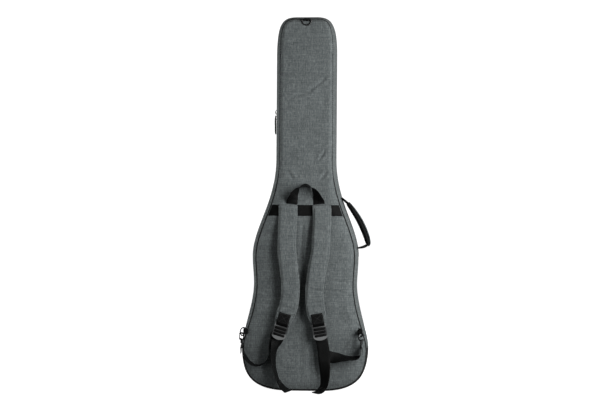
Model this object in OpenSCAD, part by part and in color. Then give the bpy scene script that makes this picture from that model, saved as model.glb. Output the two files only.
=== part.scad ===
// Padded gig bag for a bass guitar, standing on its base with its back towards -Y.
// X runs across the bag, Y through its depth, Z up. The origin is on the base, under the bag's middle.

/* [Outline] */
// Height from the floor to the top of the head
bag_h = 1260; // [1200:5:1320]
// Width across the lower bout
lower_bout_w = 426; // [400:2:450]
// Height of the lower bout's widest line
lower_bout_z = 146; // [135:1:157]
// Width at the waist
waist_w = 348; // [330:1:365]
// Height of the waist
waist_z = 357; // [345:1:370]
// Width across the upper bout
upper_bout_w = 357; // [340:1:375]
// Height of the upper bout's widest line
upper_bout_z = 450; // [440:1:460]
// Width of the neck and the head
neck_w = 201; // [190:1:212]
// Height where the shoulders run into the neck
neck_foot_z = 780; // [760:1:800]
// Height of the rounded corners of the head
head_corner_h = 130; // [110:1:140]
// Width of the flat part of the top
top_flat_w = 60; // [50:1:80]
// Width of the flat part of the base
base_flat_w = 100; // [90:1:130]

/* [Walls] */
// Depth from the back seam to the front seam
seam_depth = 104; // [96:1:112]
// How far the side wall bows out past the seams
gusset_bow = 13; // [8:0.5:16]
// How far the seams stand above the flat of the base
base_edge_h = 8; // [5:0.5:12]
// How far the back and front panels crown out past the seams
panel_crown = 9; // [6:0.5:12]
// Thickness of the outer fabric
fabric_t = 1.5; // [1:0.1:2]
// Thickness of the rubber base guard
guard_t = 1.8; // [1.5:0.1:2.2]
// Thickness of the foam in the middle of the panels
panel_foam_t = 16; // [12:0.5:20]
// Depth of the side wall from the outline to the lining
wall_depth = 25; // [22:0.5:30]
// Thickness of the lining
lining_t = 1.4; // [1:0.1:2]
// Radius of the piping cord in the seams
piping_r = 2.6; // [2:0.1:3]
// Gap between layers that lie on each other
fit_gap = 0.3; // [0.2:0.05:0.4]

/* [Zip] */
// Distance of the main zip in front of the middle of the bag
zip_y = 14; // [10:1:18]
// Width of the slot that the zip closes
zip_slot_w = 10; // [9:0.5:12]
// Thickness of the zip tape
tape_t = 1.2; // [0.8:0.1:1.5]
// Width of the closed zip coil
coil_w = 3.6; // [3:0.2:4.4]
// Height of the line where the two main sliders meet
slider_z = 930; // [900:5:960]
// Length of a slider
slider_l = 18; // [14:1:22]
// Length of a pull's rubber tab
pull_tab_l = 38; // [30:1:45]

/* [Straps] */
// Width of the webbing
webbing_w = 38; // [34:1:42]
// Thickness of the webbing
webbing_t = 1.7; // [1.3:0.1:2]
// Width of a shoulder pad
pad_w = 65; // [58:1:72]
// Thickness of the padded face of a shoulder pad
pad_face_t = 9; // [7:0.5:11]
// Thickness of the mesh back of a shoulder pad
pad_mesh_t = 3; // [2:0.5:4]
// Height of the lower edge of the band that carries the shoulder pads
band_z = 588; // [575:1:600]
// Height that the grab loop rises above the band
grab_loop_h = 70; // [60:1:80]

/* [Hardware] */
// Radius of the wire of the D rings
ring_wire_r = 2.2; // [1.8:0.1:2.6]
// Radius of the top D ring, to the middle of its wire
top_ring_r = 15.5; // [13:0.5:18]
// Radius of the side D rings, to the middle of their wire
side_ring_r = 13; // [12:0.5:15]
// Height of the middle of the side D rings
side_ring_z = 200; // [190:1:210]
// Inner radius of a snap hook's bow
hook_r = 8; // [7.6:0.1:9]
// Radius of the wire of a snap hook
hook_wire_r = 3; // [2.4:0.1:3.2]
// Length of a ladder lock from its top bar to the end of its tongue
lock_l = 50; // [48:1:56]
// Thickness of a ladder lock's face
lock_t = 2.4; // [2:0.2:3]

/* [Handle] */
// Width of the carry handle's grip
grip_w = 38; // [32:1:42]
// Thickness of the grip's outer cover
grip_cover_t = 7; // [5:0.5:9]
// Thickness of the grip's inner liner
grip_liner_t = 6; // [4:0.5:8]

/* [Pockets] */
// Thickness of a pocket's padded front
pocket_t = 14; // [10:1:18]
// Distance from the outline to the body pocket's edge
pocket_inset = 38; // [34:1:46]

/* [Inside] */
// Height of the neck cradle's lower face
cradle_z = 800; // [780:5:850]
// Height of the neck cradle
cradle_h = 60; // [45:1:70]
// Radius of the neck channel in the cradle
channel_r = 36; // [32:1:40]
// Height of the end pad above the lining
end_pad_h = 34; // [25:1:40]

/* [Hidden] */
$fn = 32;
heather = "#5f6666";
heather_dark = "#464b4b";
black = "#1b1c1c";
rubber = "#242626";
metal = "#7c8083";
dark_metal = "#2c2e30";
foam = "#c9c6b8";
plush = "#6e7478";

seam_y = seam_depth / 2;
panel_y = seam_y + panel_crown;
lining_y = panel_y - fabric_t - panel_foam_t - 2 * fit_gap;

// Number of straight steps in each curve of half an outline, from the base up to the top
STEPS = [1, 6, 4, 2, 6, 1, 6, 1];

// Each row is one cubic curve of the right half: start, two handles, end, as [x, z]
function curves() =
    let (b = base_flat_w / 2, l = lower_bout_w / 2, w = waist_w / 2, u = upper_bout_w / 2,
         n = neck_w / 2, t = top_flat_w / 2, head_z = bag_h - head_corner_h,
         low = waist_z - lower_bout_z, mid = 0.33 * (upper_bout_z - waist_z),
         high = neck_foot_z - upper_bout_z)
    [[[0, 0], [b / 3, 0], [2 * b / 3, 0], [b, 0]],
     [[b, 0], [b + 0.74 * (l - b), 0], [l, 0.3 * lower_bout_z], [l, lower_bout_z]],
     [[l, lower_bout_z], [l, lower_bout_z + 0.2 * low], [w, waist_z - 0.35 * low], [w, waist_z]],
     [[w, waist_z], [w, waist_z + mid], [u, upper_bout_z - mid], [u, upper_bout_z]],
     [[u, upper_bout_z], [u, upper_bout_z + 0.3 * high], [n, neck_foot_z - 0.45 * high], [n, neck_foot_z]],
     [[n, neck_foot_z], [n, neck_foot_z + 1], [n, head_z - 1], [n, head_z]],
     [[n, head_z], [n, head_z + 0.9 * head_corner_h], [t + 0.7 * (n - t), bag_h], [t, bag_h]],
     [[t, bag_h], [2 * t / 3, bag_h], [t / 3, bag_h], [0, bag_h]]];

function bezier(c, t) =
    let (s = 1 - t) s * s * s * c[0] + 3 * s * s * t * c[1] + 3 * s * t * t * c[2] + t * t * t * c[3];
function bezier_slope(c, t) =
    let (s = 1 - t) s * s * (c[1] - c[0]) + 2 * s * t * (c[2] - c[1]) + t * t * (c[3] - c[2]);
function unit(v) = v / norm(v);

// Right half of the outline: each row is [point, inward normal]
HALF = [for (k = [0:len(STEPS) - 1], j = [0:STEPS[k] - 1])
            let (c = curves()[k], t = j / STEPS[k], d = unit(bezier_slope(c, t)))
            [bezier(c, t), [-d.y, d.x]]];
TOP = [[0, bag_h], [0, -1]];
function mirrored(row) = [[-row[0].x, row[0].y], [-row[1].x, row[1].y]];
// The whole outline, from the middle of the base up the right side and down the left
LOOP = concat(HALF, [TOP], [for (i = [len(HALF) - 1:-1:1]) mirrored(HALF[i])]);
COUNT = len(LOOP);
I_LOWER = STEPS[0] + STEPS[1];
I_UPPER = I_LOWER + STEPS[2] + STEPS[3];

// Half width of the outline at a height, and the outline's inward normal there
function half_width(z) = lookup(z, [for (i = [STEPS[0]:len(HALF) - 1]) [HALF[i][0].y, HALF[i][0].x]]);
function side_normal(z) =
    let (d = unit([half_width(z + 5) - half_width(z - 5), 10])) [-d.y, d.x];

// How far the outer face lies inside the outline at a depth: bowed at the sides, flat under the base
function smooth(t) = let (c = min(1, max(0, t))) c * c * (3 - 2 * c);
function base_share(i) = 1 - smooth(LOOP[i][0].y / lower_bout_z);
BASE_FLAT = 0.76;
function bow(i, y) =
    let (s = abs(y) / seam_y, edge = max(0, (s - BASE_FLAT) / (1 - BASE_FLAT)), b = base_share(i))
    (1 - b) * gusset_bow * s * s + b * base_edge_h * edge * edge;
function side_bow(y) = gusset_bow * pow(abs(y) / seam_y, 2);

// A point of the outline, moved in by a distance, at depth y
function wall_point(i, inset, y) =
    let (row = LOOP[i % COUNT], p = row[0] + inset * row[1]) [p.x, y, p.y];
// The same, measured from the bowed outer face
function face_point(i, inset, y) = wall_point(i, inset + bow(i % COUNT, y), y);
function outline(inset) = [for (i = [0:COUNT - 1]) LOOP[i][0] + inset * LOOP[i][1]];

// Triangles of an end face: rungs between facing points, and the five points of a flat end
function rungs(a, b, steps) =
    [for (k = [0:steps - 1]) each [[a + k, a + k + 1, b - k - 1], [a + k, b - k - 1, b - k]]];
function flat_end(m, a) =
    [[a, (a + 1) % m, (a + 2) % m], [a, (a + 2) % m, (a + 4) % m], [(a + 2) % m, (a + 3) % m, (a + 4) % m]];

// A solid skinned over rows of points; each row goes round one section
module skin(rows, ring = false, cap = []) {
    n = len(rows);
    m = len(rows[0]);
    last = ring ? n - 1 : n - 2;
    sides = [for (i = [0:last], j = [0:m - 1])
                let (a = i * m + j, b = i * m + (j + 1) % m,
                     c = ((i + 1) % n) * m + (j + 1) % m, d = ((i + 1) % n) * m + j)
                each [[a, c, b], [a, d, c]]];
    first = len(cap) > 0 ? cap : [[for (j = [0:m - 1]) j]];
    caps = ring ? [] : concat(first, [for (f = first) [for (j = [len(f) - 1:-1:0]) (n - 1) * m + f[j]]]);
    polyhedron([for (r = rows) each r], concat(sides, caps));
}

// A flat slab in the outline's shape between two depths
module slab(inset, y0, y1)
    rotate([90, 0, 0]) translate([0, 0, -y1]) linear_extrude(y1 - y0) polygon(outline(inset));

// A strip of the side wall: face is measured from the outer face, wall from the outline, as [inset, y]
module wall_strip(from, to, face, wall = [])
    skin([for (i = [from:to]) concat([for (s = face) face_point(i, s[0], s[1])],
                                     [for (s = wall) wall_point(i, s[0], s[1])])]);

// Crowned panel: each step is [distance in from the seam, share of the crown]
CROWN = [[1.5 * piping_r, 0.3], [8, 0.62], [13, 0.88], [19, 1]];
function crown_ring(step, inset, side, drop) =
    [for (i = [0:COUNT - 1])
        let (p = face_point(i, step[0] + inset, seam_y))
        [p.x, side * (seam_y + step[1] * panel_crown - drop), p.z]];
function turned(rows, side) = side < 0 ? [for (r = rows) [for (j = [len(r) - 1:-1:0]) r[j]]] : rows;

// End faces of a panel; the back panel's rows run the other way round
HALF_COUNT = COUNT / 2;
CAP = concat(flat_end(COUNT, COUNT - 2), rungs(2, COUNT - 2, HALF_COUNT - 4), flat_end(COUNT, HALF_COUNT - 2));
function side_cap(side) =
    side < 0 ? [for (f = CAP) [for (j = [2:-1:0]) COUNT - 1 - f[j]]] : CAP;

module panel(side) {
    inside = [for (k = [len(CROWN) - 1:-1:0]) crown_ring(CROWN[k], 0, side, fabric_t)];
    outside = [for (s = CROWN) crown_ring(s, 0, side, 0)];
    skin(turned(concat(inside, outside), side), cap = side_cap(side));
}

module panel_foam(side) {
    rim = [[for (i = [0:COUNT - 1])
               let (p = face_point(i, CROWN[0][0], seam_y)) [p.x, side * (lining_y + fit_gap), p.z]]];
    outside = [for (s = CROWN) crown_ring(s, 0, side, fabric_t + fit_gap)];
    skin(turned(concat(rim, outside), side), cap = side_cap(side));
}

module lining(side, edge_y) {
    floor_y = side * lining_y;
    difference() {
        slab(wall_depth, min(floor_y, edge_y), max(floor_y, edge_y));
        slab(wall_depth + lining_t, min(floor_y - side * lining_t, edge_y + side * -1),
             max(floor_y - side * lining_t, edge_y + side * -1));
    }
}

// Piping cord: six-sided, its middle a little outside and inside the seam
piping_shift = 0.2 * piping_r;
piping_y = seam_y + piping_shift;
piping_face = piping_y + piping_r * sin(60);
module piping(side)
    skin([for (i = [0:COUNT - 1]) [for (a = [0:60:300])
             let (p = face_point(i, piping_shift + piping_r * cos(side * a), seam_y))
             [p.x, side * piping_y + piping_r * sin(side * a), p.z]]], ring = true);

// Edges of the layers at the zip slot
rear_edge = zip_y - zip_slot_w / 2;
skin_end = seam_y - 1.2 * piping_r;
tape_in = max(fabric_t, guard_t) + fit_gap;
tape_w = zip_slot_w / 2 + 5;
tape_y = tape_w + 1;
foam_gap = 1.5;
foam_in = tape_in + tape_t + fit_gap;

function lerp(a, b, t) = a + (b - a) * t;
// Depths where the layers of a side wall bend, from the zip slot to the lining's floor
flat_y = BASE_FLAT * seam_y;
function foam_step(side) = zip_y + side * tape_y;
function bends(side) =
    let (a = foam_step(side), b = side * flat_y, n = side < 0 ? 3 : 2)
    concat([for (k = [0:n]) lerp(a, b, k / n)], [side * lining_y]);
// Points along a wall's depth at one inset
function depth_run(inset, y0, y1, steps) = [for (k = [0:steps]) [inset, lerp(y0, y1, k / steps)]];

// Outer skin of a half's side wall, from the zip slot to the seam
module gusset_skin(side, from, to, t) {
    run = concat([zip_y + side * zip_slot_w / 2], bends(side), [side * skin_end]);
    ys = side < 0 ? run : turned_run(run);
    wall_strip(from, to, concat([for (y = ys) [0, y]], [for (y = turned_run(ys)) [t, y]]));
}

// Foam of a side wall: full up to the zip tape, then a step down under it
module wall_foam(side) {
    edge_y = zip_y + side * foam_gap;
    face = [for (y = bends(side)) [tape_in + fit_gap, y]];
    under = [[foam_in, edge_y], [foam_in, foam_step(side)]];
    wall = [[wall_depth - fit_gap, side * lining_y], [wall_depth - fit_gap, edge_y]];
    rows = [for (i = [0:COUNT - 1])
               concat([for (s = face) face_point(i, s[0], s[1])],
                      [for (s = wall) wall_point(i, s[0], s[1])],
                      [for (s = under) face_point(i, s[0], s[1])])];
    skin(turned(rows, -side), ring = true);
}

// Half of the zip tape and half of its coil, from the upper bout over the head and round to the base
module zip_tape(side) {
    y0 = zip_y + side * (coil_w / 2 + fit_gap);
    y1 = zip_y + side * tape_w;
    a = depth_run(tape_in, min(y0, y1), max(y0, y1), 1);
    b = depth_run(tape_in + tape_t, max(y0, y1), min(y0, y1), 1);
    wall_strip(I_UPPER, COUNT + I_LOWER, turned_run(concat(a, b)));
}
module zip_coil(side) {
    y0 = zip_y + side * fit_gap / 2;
    y1 = zip_y + side * coil_w / 2;
    a = depth_run(tape_in - coil_rise, min(y0, y1), max(y0, y1), 1);
    b = depth_run(tape_in + tape_t, max(y0, y1), min(y0, y1), 1);
    wall_strip(I_UPPER, COUNT + I_LOWER, turned_run(concat(a, b)));
}
coil_rise = 1.2;
function turned_run(run) = [for (k = [len(run) - 1:-1:0]) run[k]];

module back_panel() color(heather) panel(-1);
module back_foam() color(foam) panel_foam(-1);
module back_lining() color(plush) lining(-1, zip_y - foam_gap);
module rear_gusset() color(heather)
    gusset_skin(-1, I_LOWER, COUNT - I_LOWER, fabric_t);
module rear_base_guard() color(rubber)
    gusset_skin(-1, COUNT - I_LOWER, COUNT + I_LOWER, guard_t);
module rear_gusset_foam() color(foam) wall_foam(-1);
module back_piping() color(heather_dark) piping(-1);
module front_panel() color(heather) panel(1);
module front_foam() color(foam) panel_foam(1);
module front_lining() color(plush) lining(1, zip_y + foam_gap);
module front_gusset() color(heather)
    gusset_skin(1, I_LOWER, COUNT - I_LOWER, fabric_t);
module front_base_guard() color(rubber)
    gusset_skin(1, COUNT - I_LOWER, COUNT + I_LOWER, guard_t);
module front_gusset_foam() color(foam) wall_foam(1);
module front_piping() color(heather_dark) piping(1);
module rear_zip_tape() color(black) zip_tape(-1);
module front_zip_tape() color(black) zip_tape(1);
module rear_zip_coil() color(black) zip_coil(-1);
module front_zip_coil() color(black) zip_coil(1);
module spine_strip() color(black) {
    a = depth_run(tape_in, zip_y + tape_w, zip_y - tape_w, 4);
    b = depth_run(tape_in + tape_t, zip_y - tape_w, zip_y + tape_w, 4);
    wall_strip(I_LOWER, I_UPPER, concat(a, b));
}

// Smooth run through control rows; every entry of a row is a vector
function through(a, b, c, d, t) =
    0.5 * (2 * b + (c - a) * t + (2 * a - 5 * b + 4 * c - d) * t * t + (3 * b - a - 3 * c + d) * t * t * t);
function sampled(rows, steps) =
    let (n = len(rows) - 1)
    concat([for (i = [0:n - 1], j = [0:steps - 1])
               [for (k = [0:len(rows[0]) - 1])
                   through(rows[max(0, i - 1)][k], rows[i][k], rows[i + 1][k], rows[min(n, i + 2)][k],
                           j / steps)]],
           [rows[n]]);
// Section frames along a run: [point, width direction, outward direction]
function frames(rows) =
    let (n = len(rows) - 1)
    [for (i = [0:n])
        let (t = unit(rows[min(n, i + 1)][0] - rows[max(0, i - 1)][0]), w0 = rows[i][1],
             w = unit(w0 - (w0 * t) * t))
        [rows[i][0], w, cross(t, w)]];
// A strip that follows a run; the section is a list of [across, out]
module ribbon(rows, section)
    skin([for (f = frames(rows)) [for (s = section) f[0] + s[0] * f[1] + s[1] * f[2]]]);
function flat_section(w, low, high) =
    [[-w / 2, high], [w / 2, high], [w / 2, low], [-w / 2, low]];
function soft_section(w, low, high, c) =
    [[-w / 2 + c, high], [w / 2 - c, high], [w / 2, high - c], [w / 2, low + c / 2], [w / 2 - c / 2, low],
     [-w / 2 + c / 2, low], [-w / 2, low + c / 2], [-w / 2, high - c]];
function webbing_section(w) = flat_section(w, -webbing_t / 2, webbing_t / 2);

ACROSS = [1, 0, 0];
DEEP = [0, 1, 0];
UP = [0, 0, 1];

// Band across the back that carries the shoulder pads and the grab loop
band_h = 36;
band_top = band_z + band_h;
band_out = fit_gap + webbing_t / 2 + 0.6;
function crown_at(d) = panel_crown * lookup(d, CROWN);
function band_row(d, s) =
    let (z = band_z + band_h / 2, n = side_normal(z), x = half_width(z) + (gusset_bow + d) / n.x)
    [[s * x, -(seam_y + crown_at(d) + band_out), z], [s * n.y, 0, -n.x]];
BAND_STEPS = [6, 9, 14, 20];
module shoulder_band() color(black)
    ribbon(concat([for (d = BAND_STEPS) band_row(d, -1)],
                  [[[0, -(panel_y + band_out), band_z + band_h / 2], UP]],
                  [for (k = [len(BAND_STEPS) - 1:-1:0]) band_row(BAND_STEPS[k], 1)]),
           flat_section(band_h, -webbing_t / 2, webbing_t / 2));

// Shoulder pads: rows are [across, out from the back panel, down from the top of the band]
pad_t = pad_face_t + pad_mesh_t;
pad_seat = band_out + webbing_t / 2 + fit_gap + pad_t / 2;
LEFT_PAD = [[-57, 0.3, 2], [-58, 1.4, 38], [-60, 12, 100], [-60, 20, 150], [-51, 22, 225], [-47, 21, 280],
            [-51, 20, 328], [-61, 19, 362], [-72, 18, 390]];
RIGHT_PAD = [[55, 0.3, 2], [55, 1.3, 38], [54, 11, 100], [52, 19, 150], [39, 21, 225], [33, 20, 280],
             [34, 19, 328], [39, 18, 362], [46, 17, 390]];
function pad_rows(route) =
    [for (r = route) [[r[0], -(panel_y + pad_seat + r[1]), band_top - r[2]], ACROSS]];
pad_soft = 2.5;
module shoulder_pad(route) color(heather)
    ribbon(sampled(pad_rows(route), 2),
           soft_section(pad_w, -pad_t / 2 + pad_mesh_t + fit_gap / 2, pad_t / 2, pad_soft));
module shoulder_mesh(route) color(black)
    ribbon(sampled(pad_rows(route), 2),
           flat_section(pad_w - 2 * pad_soft, -pad_t / 2, -pad_t / 2 + pad_mesh_t - fit_gap / 2));
module left_pad() shoulder_pad(LEFT_PAD);
module right_pad() shoulder_pad(RIGHT_PAD);
module left_mesh() shoulder_mesh(LEFT_PAD);
module right_mesh() shoulder_mesh(RIGHT_PAD);

// Ladder locks: each hangs from its top bar, a little below the end of its pad
lock_bar_r = 2.6;
lock_pitch = 13;
rail_w = 3.4;
rail_t = 6.4;
// Crossbars on the lock's face: the webbing runs behind them
FACE_BARS = [6.5, 17.5, 28.5];
face_bar_h = 5.2;
face_y = lock_bar_r + 0.5 + webbing_t + webbing_t / 2 + 0.1;
tongue_top = 36.5;
lock_drop = 10;
lock_in = webbing_w / 2 + 0.8;
LEFT_TURN = 17;
RIGHT_TURN = -10;
function pad_end(route) = pad_rows(route)[len(route) - 1][0];
function turn_y(a, p) = [p.x * cos(a) + p.z * sin(a), p.y, -p.x * sin(a) + p.z * cos(a)];
function lock_point(route, a, across, down, out) =
    pad_end(route) + turn_y(a, [across, -out, -down - lock_drop]);
module ladder_lock(route, a) color(dark_metal)
    translate(lock_point(route, a, 0, 0, 0)) rotate([0, a, 0]) {
        for (k = [0:2])
            translate([-lock_in - rail_w / 2, 0, -k * lock_pitch]) rotate([0, 90, 0])
                cylinder(r = lock_bar_r, h = 2 * lock_in + rail_w);
        for (s = [-1, 1]) {
            translate([s * (lock_in + rail_w / 2) - rail_w / 2, -rail_t / 2, -2 * lock_pitch - lock_bar_r])
                cube([rail_w, rail_t, 2 * lock_pitch + 2 * lock_bar_r + 1.5]);
            translate([s * (lock_in + rail_w / 2) - rail_w / 2, -face_y - lock_t, -tongue_top])
                cube([rail_w, face_y + lock_t, tongue_top - FACE_BARS[0] + face_bar_h / 2]);
        }
        for (z = FACE_BARS)
            translate([-lock_in - rail_w / 2, -face_y - lock_t, -z - face_bar_h / 2])
                cube([2 * lock_in + rail_w, lock_t, face_bar_h]);
        translate([0, -face_y, 0]) rotate([90, 0, 0]) linear_extrude(lock_t)
            tongue_shape();
    }
module tongue_shape()
    polygon([for (t = [0:7.5:180])
        [(lock_in + rail_w) * cos(t), -tongue_top + 0.01 - (lock_l - tongue_top) * sin(t)]]);
module left_lock() ladder_lock(LEFT_PAD, LEFT_TURN);
module right_lock() ladder_lock(RIGHT_PAD, RIGHT_TURN);

// Webbing patch sewn on the pad's end; it loops round the lock's top bar
patch_l = 40;
loop_r = lock_bar_r + 0.5 + webbing_t / 2;
function patch_rows(route, a) =
    let (out = pad_t / 2 + fit_gap + webbing_t / 2, w = turn_y(a, ACROSS))
    concat([for (p = [[-patch_l, out + 1.4], [-patch_l / 2, out + 0.7], [-6, out + 0.2], [-2.2, 5.6]])
               [lock_point(route, a, 0, p[0], p[1]), w]],
           [for (b = [65:-25:-135]) [lock_point(route, a, 0, loop_r * cos(b), loop_r * sin(b)), w]],
           [for (p = [[-4.6, -2.6], [-5.6, -2.6]]) [lock_point(route, a, 0, p[0], p[1]), w]]);
module left_patch() color(black) ribbon(patch_rows(LEFT_PAD, LEFT_TURN), webbing_section(webbing_w));
module right_patch() color(black) ribbon(patch_rows(RIGHT_PAD, RIGHT_TURN), webbing_section(webbing_w));

// The adjusting webbing passes up behind the lock, over its middle bar and down behind its tongue
WRAP = [[10, -6.2], [6.4, -2.6], [7.2, 2], [10.4, 4.1], [13, 4.5], [15.8, 4.1],
        [18.8, 2], [19.8, -2], [23, -4.4], [32, -4.6], [44, -4.4]];
function wrap_rows(route, a) =
    [for (p = WRAP) [lock_point(route, a, 0, p[0], p[1]), turn_y(a, ACROSS)]];
// Free ends that hang from the locks: point and width direction
LEFT_TAIL = [[[-97.5, -86.5, 150], [0.72, 0.69, 0]], [[-103.5, -84.5, 124], [0.48, 0.87, 0]],
             [[-104, -84, 100], [0.34, 0.94, 0]], [[-97, -84.5, 72], [0.3, 0.95, 0.08]],
             [[-84, -87, 40], [0.36, 0.92, 0.15]], [[-67, -94, 17], [0.42, 0.88, 0.2]],
             [[-50, -103, 9], [0.38, 0.9, 0.2]]];
RIGHT_TAIL = [[[64, -84, 145], [1, 0, 0]], [[66, -83, 112], [1, 0, 0]], [[67, -84, 80], [1, -0.1, 0]],
              [[64, -88, 46], [0.9, -0.4, 0]], [[57, -96, 21], [0.8, -0.6, 0]],
              [[45, -108, 6], [0.72, -0.7, 0]], [[31, -120, 3], [0.66, -0.75, 0]]];
module left_tail() color(black)
    ribbon(concat(wrap_rows(LEFT_PAD, LEFT_TURN), sampled(LEFT_TAIL, 2)), webbing_section(webbing_w));
module right_tail() color(black)
    ribbon(concat(wrap_rows(RIGHT_PAD, RIGHT_TURN), sampled(RIGHT_TAIL, 2)), webbing_section(webbing_w));

// Side D rings on webbing tabs from the back seam: side, direction of the tab, direction of the ring
tab_l = 22;
ring_leg = 8;
tab_h = 18;
tab_t = 2 * webbing_t + 1;
bore_r = ring_wire_r + fit_gap;
LEFT_SIDE = [-1, [-0.45, -0.893], [-0.6, -0.8]];
RIGHT_SIDE = [1, [-0.45, -0.893], [0.64, -0.77]];
function seam_x(z) = half_width(z) - gusset_bow;
function tab_start(s) = [s[0] * (seam_x(side_ring_z) + 0.5), -(seam_y + 1.6 * piping_r)];
function ring_axis(s) = tab_start(s) + tab_l * s[1];
function facing(v) = atan2(v.y, v.x);
module ring_tab(s) color(black)
    translate([tab_start(s).x, tab_start(s).y, side_ring_z - tab_h / 2]) rotate([0, 0, facing(s[1])])
        linear_extrude(tab_h) difference() {
            union() {
                translate([0, -tab_t / 2]) square([tab_l, tab_t]);
                translate([tab_l, 0]) circle(r = bore_r + webbing_t);
            }
            translate([tab_l, 0]) circle(r = bore_r);
        }
// A D ring in the XZ plane: straight bar along Z at the origin, two legs and a bow towards +X
module d_ring(r, leg) {
    translate([0, 0, -r]) cylinder(r = ring_wire_r, h = 2 * r);
    for (s = [-1, 1]) translate([0, 0, s * r]) {
        sphere(r = ring_wire_r);
        rotate([0, 90, 0]) cylinder(r = ring_wire_r, h = leg);
    }
    translate([leg, 0, 0]) rotate([90, 0, 0]) rotate([0, 0, -90]) rotate_extrude(angle = 180, $fn = 64)
        translate([r, 0]) circle(r = ring_wire_r);
}
module side_ring(s) color(metal)
    translate([ring_axis(s).x, ring_axis(s).y, side_ring_z]) rotate([0, 0, facing(s[2])])
        d_ring(side_ring_r, ring_leg);
module left_ring_tab() ring_tab(LEFT_SIDE);
module right_ring_tab() ring_tab(RIGHT_SIDE);
module left_ring() side_ring(LEFT_SIDE);
module right_ring() side_ring(RIGHT_SIDE);

// Snap hooks hang on the lower part of the side rings
HANG = 65;
hook_mean = hook_r + hook_wire_r;
function hook_axis(s) = ring_axis(s) + (ring_leg + side_ring_r * cos(HANG)) * s[2];
hook_slack = 2.9;
hook_z = side_ring_z - side_ring_r * sin(HANG) - (hook_r - ring_wire_r - hook_slack);
MOUTH_LOW = -55;
MOUTH_HIGH = 22;
gate_r = 1.7;
gate_pin_r = 1.1;
knuckle_r = 2.6;
knuckle_w = 4;
cheek_t = 1.1;
shank_r = 4.4;
post_r = 1.8;
shank_l = 12;
// Hook frame: X across the bow with the mouth at +X, Y through the bow, Z up the shank
module hook_place(s)
    translate([hook_axis(s).x, hook_axis(s).y, hook_z]) rotate([0, 0, facing(s[2]) + s[0] * 90]) children();
module arc_wire(from, to, r)
    rotate([90, 0, 0]) rotate([0, 0, from]) rotate_extrude(angle = to - from, $fn = 64)
        translate([hook_mean, 0]) circle(r = r);
gate_x = hook_mean * cos(MOUTH_LOW);
gate_z = hook_mean * sin(MOUTH_LOW);
// The nose is cut back along the path of the gate's tip
NOSE_END = 60;
GATE_END = MOUTH_HIGH - 4;
gate_tip = (hook_mean + gate_r) * [cos(GATE_END), sin(GATE_END)];
gate_sweep = norm(gate_tip - [gate_x, gate_z]) + fit_gap + 0.1;
module snap_hook(s) color(metal) hook_place(s) {
    difference() {
        union() {
            arc_wire(NOSE_END, 360 + MOUTH_LOW - 17, hook_wire_r);
            difference() {
                arc_wire(MOUTH_HIGH, NOSE_END, hook_wire_r);
                translate([gate_x, 2 * hook_wire_r, gate_z]) rotate([90, 0, 0])
                    cylinder(r = gate_sweep, h = 4 * hook_wire_r, $fn = 96);
            }
            translate([0, 0, -hook_mean - shank_l]) cylinder(r = shank_r, h = shank_l);
        }
        translate([0, 0, -hook_mean - shank_l - 1]) cylinder(r = post_r + fit_gap, h = shank_l - 2);
    }
    for (t = [-1, 1])
        translate([gate_x, t * (knuckle_w / 2 + fit_gap + cheek_t / 2) + cheek_t / 2, gate_z])
            rotate([90, 0, 0]) linear_extrude(cheek_t) {
                circle(r = knuckle_r);
                rotate([0, 0, MOUTH_LOW - 90 - 12]) translate([0, -knuckle_r]) square([6, 2 * knuckle_r]);
            }
    translate([gate_x, knuckle_w / 2 + fit_gap + cheek_t, gate_z]) rotate([90, 0, 0])
        cylinder(r = gate_pin_r, h = knuckle_w + 2 * fit_gap + 2 * cheek_t);
}
module gate(s) color(metal) hook_place(s) difference() {
    union() {
        arc_wire(MOUTH_LOW, GATE_END, gate_r);
        translate([gate_x, knuckle_w / 2, gate_z]) rotate([90, 0, 0]) cylinder(r = knuckle_r - 0.2, h = knuckle_w);
    }
    translate([gate_x, knuckle_w, gate_z]) rotate([90, 0, 0])
        cylinder(r = gate_pin_r + fit_gap, h = 2 * knuckle_w);
}
// Swivel eye below the hook, wide in depth for the webbing
eye_w = webbing_w + 6;
eye_h = 10;
eye_wire_r = 2;
eye_top = hook_z - hook_mean - shank_l - 1.5 - eye_wire_r;
module swivel_eye(s) color(metal) translate([hook_axis(s).x, hook_axis(s).y, eye_top]) {
    cylinder(r = post_r, h = 9);
    for (z = [0, -eye_h]) translate([0, -eye_w / 2, z]) rotate([-90, 0, 0]) cylinder(r = eye_wire_r, h = eye_w);
    for (t = [-1, 1]) translate([0, t * eye_w / 2, -eye_h]) {
        cylinder(r = eye_wire_r, h = eye_h);
        sphere(r = eye_wire_r);
        translate([0, 0, eye_h]) sphere(r = eye_wire_r);
    }
}
module left_hook() snap_hook(LEFT_SIDE);
module right_hook() snap_hook(RIGHT_SIDE);
module left_gate() gate(LEFT_SIDE);
module right_gate() gate(RIGHT_SIDE);
module left_eye() swivel_eye(LEFT_SIDE);
module right_eye() swivel_eye(RIGHT_SIDE);

// Lower webbing from the eyes to the backs of the locks
eye_bar_z = eye_top - eye_h;
eye_loop_r = eye_wire_r + fit_gap + webbing_t / 2;
function eye_rows(s, turn) =
    let (h = hook_axis(s))
    concat([for (z = [20, 10]) [[h.x + turn * eye_loop_r * (0.5 + z / 60), h.y, eye_bar_z - z], -turn * DEEP]],
           [for (b = [0:30:180])
               [[h.x + turn * eye_loop_r * cos(b), h.y, eye_bar_z + eye_loop_r * sin(b)], -turn * DEEP]]);
LEFT_RUN = [[[-203, -86, 134], DEEP], [[-195, -85.5, 114], [0.15, 0.98, 0.1]],
            [[-180, -85, 97], [0.06, 0.99, 0.08]], [[-156, -84.5, 88], DEEP], [[-131, -84, 98], DEEP],
            [[-118, -83, 122], DEEP], [[-116.5, -82.5, 150], [0.12, 0.99, 0]],
            [[-109, -79.5, 169], [0.45, 0.89, -0.05]], [[-95, -74, 188], [0.93, 0.2, -0.3]]];
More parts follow.
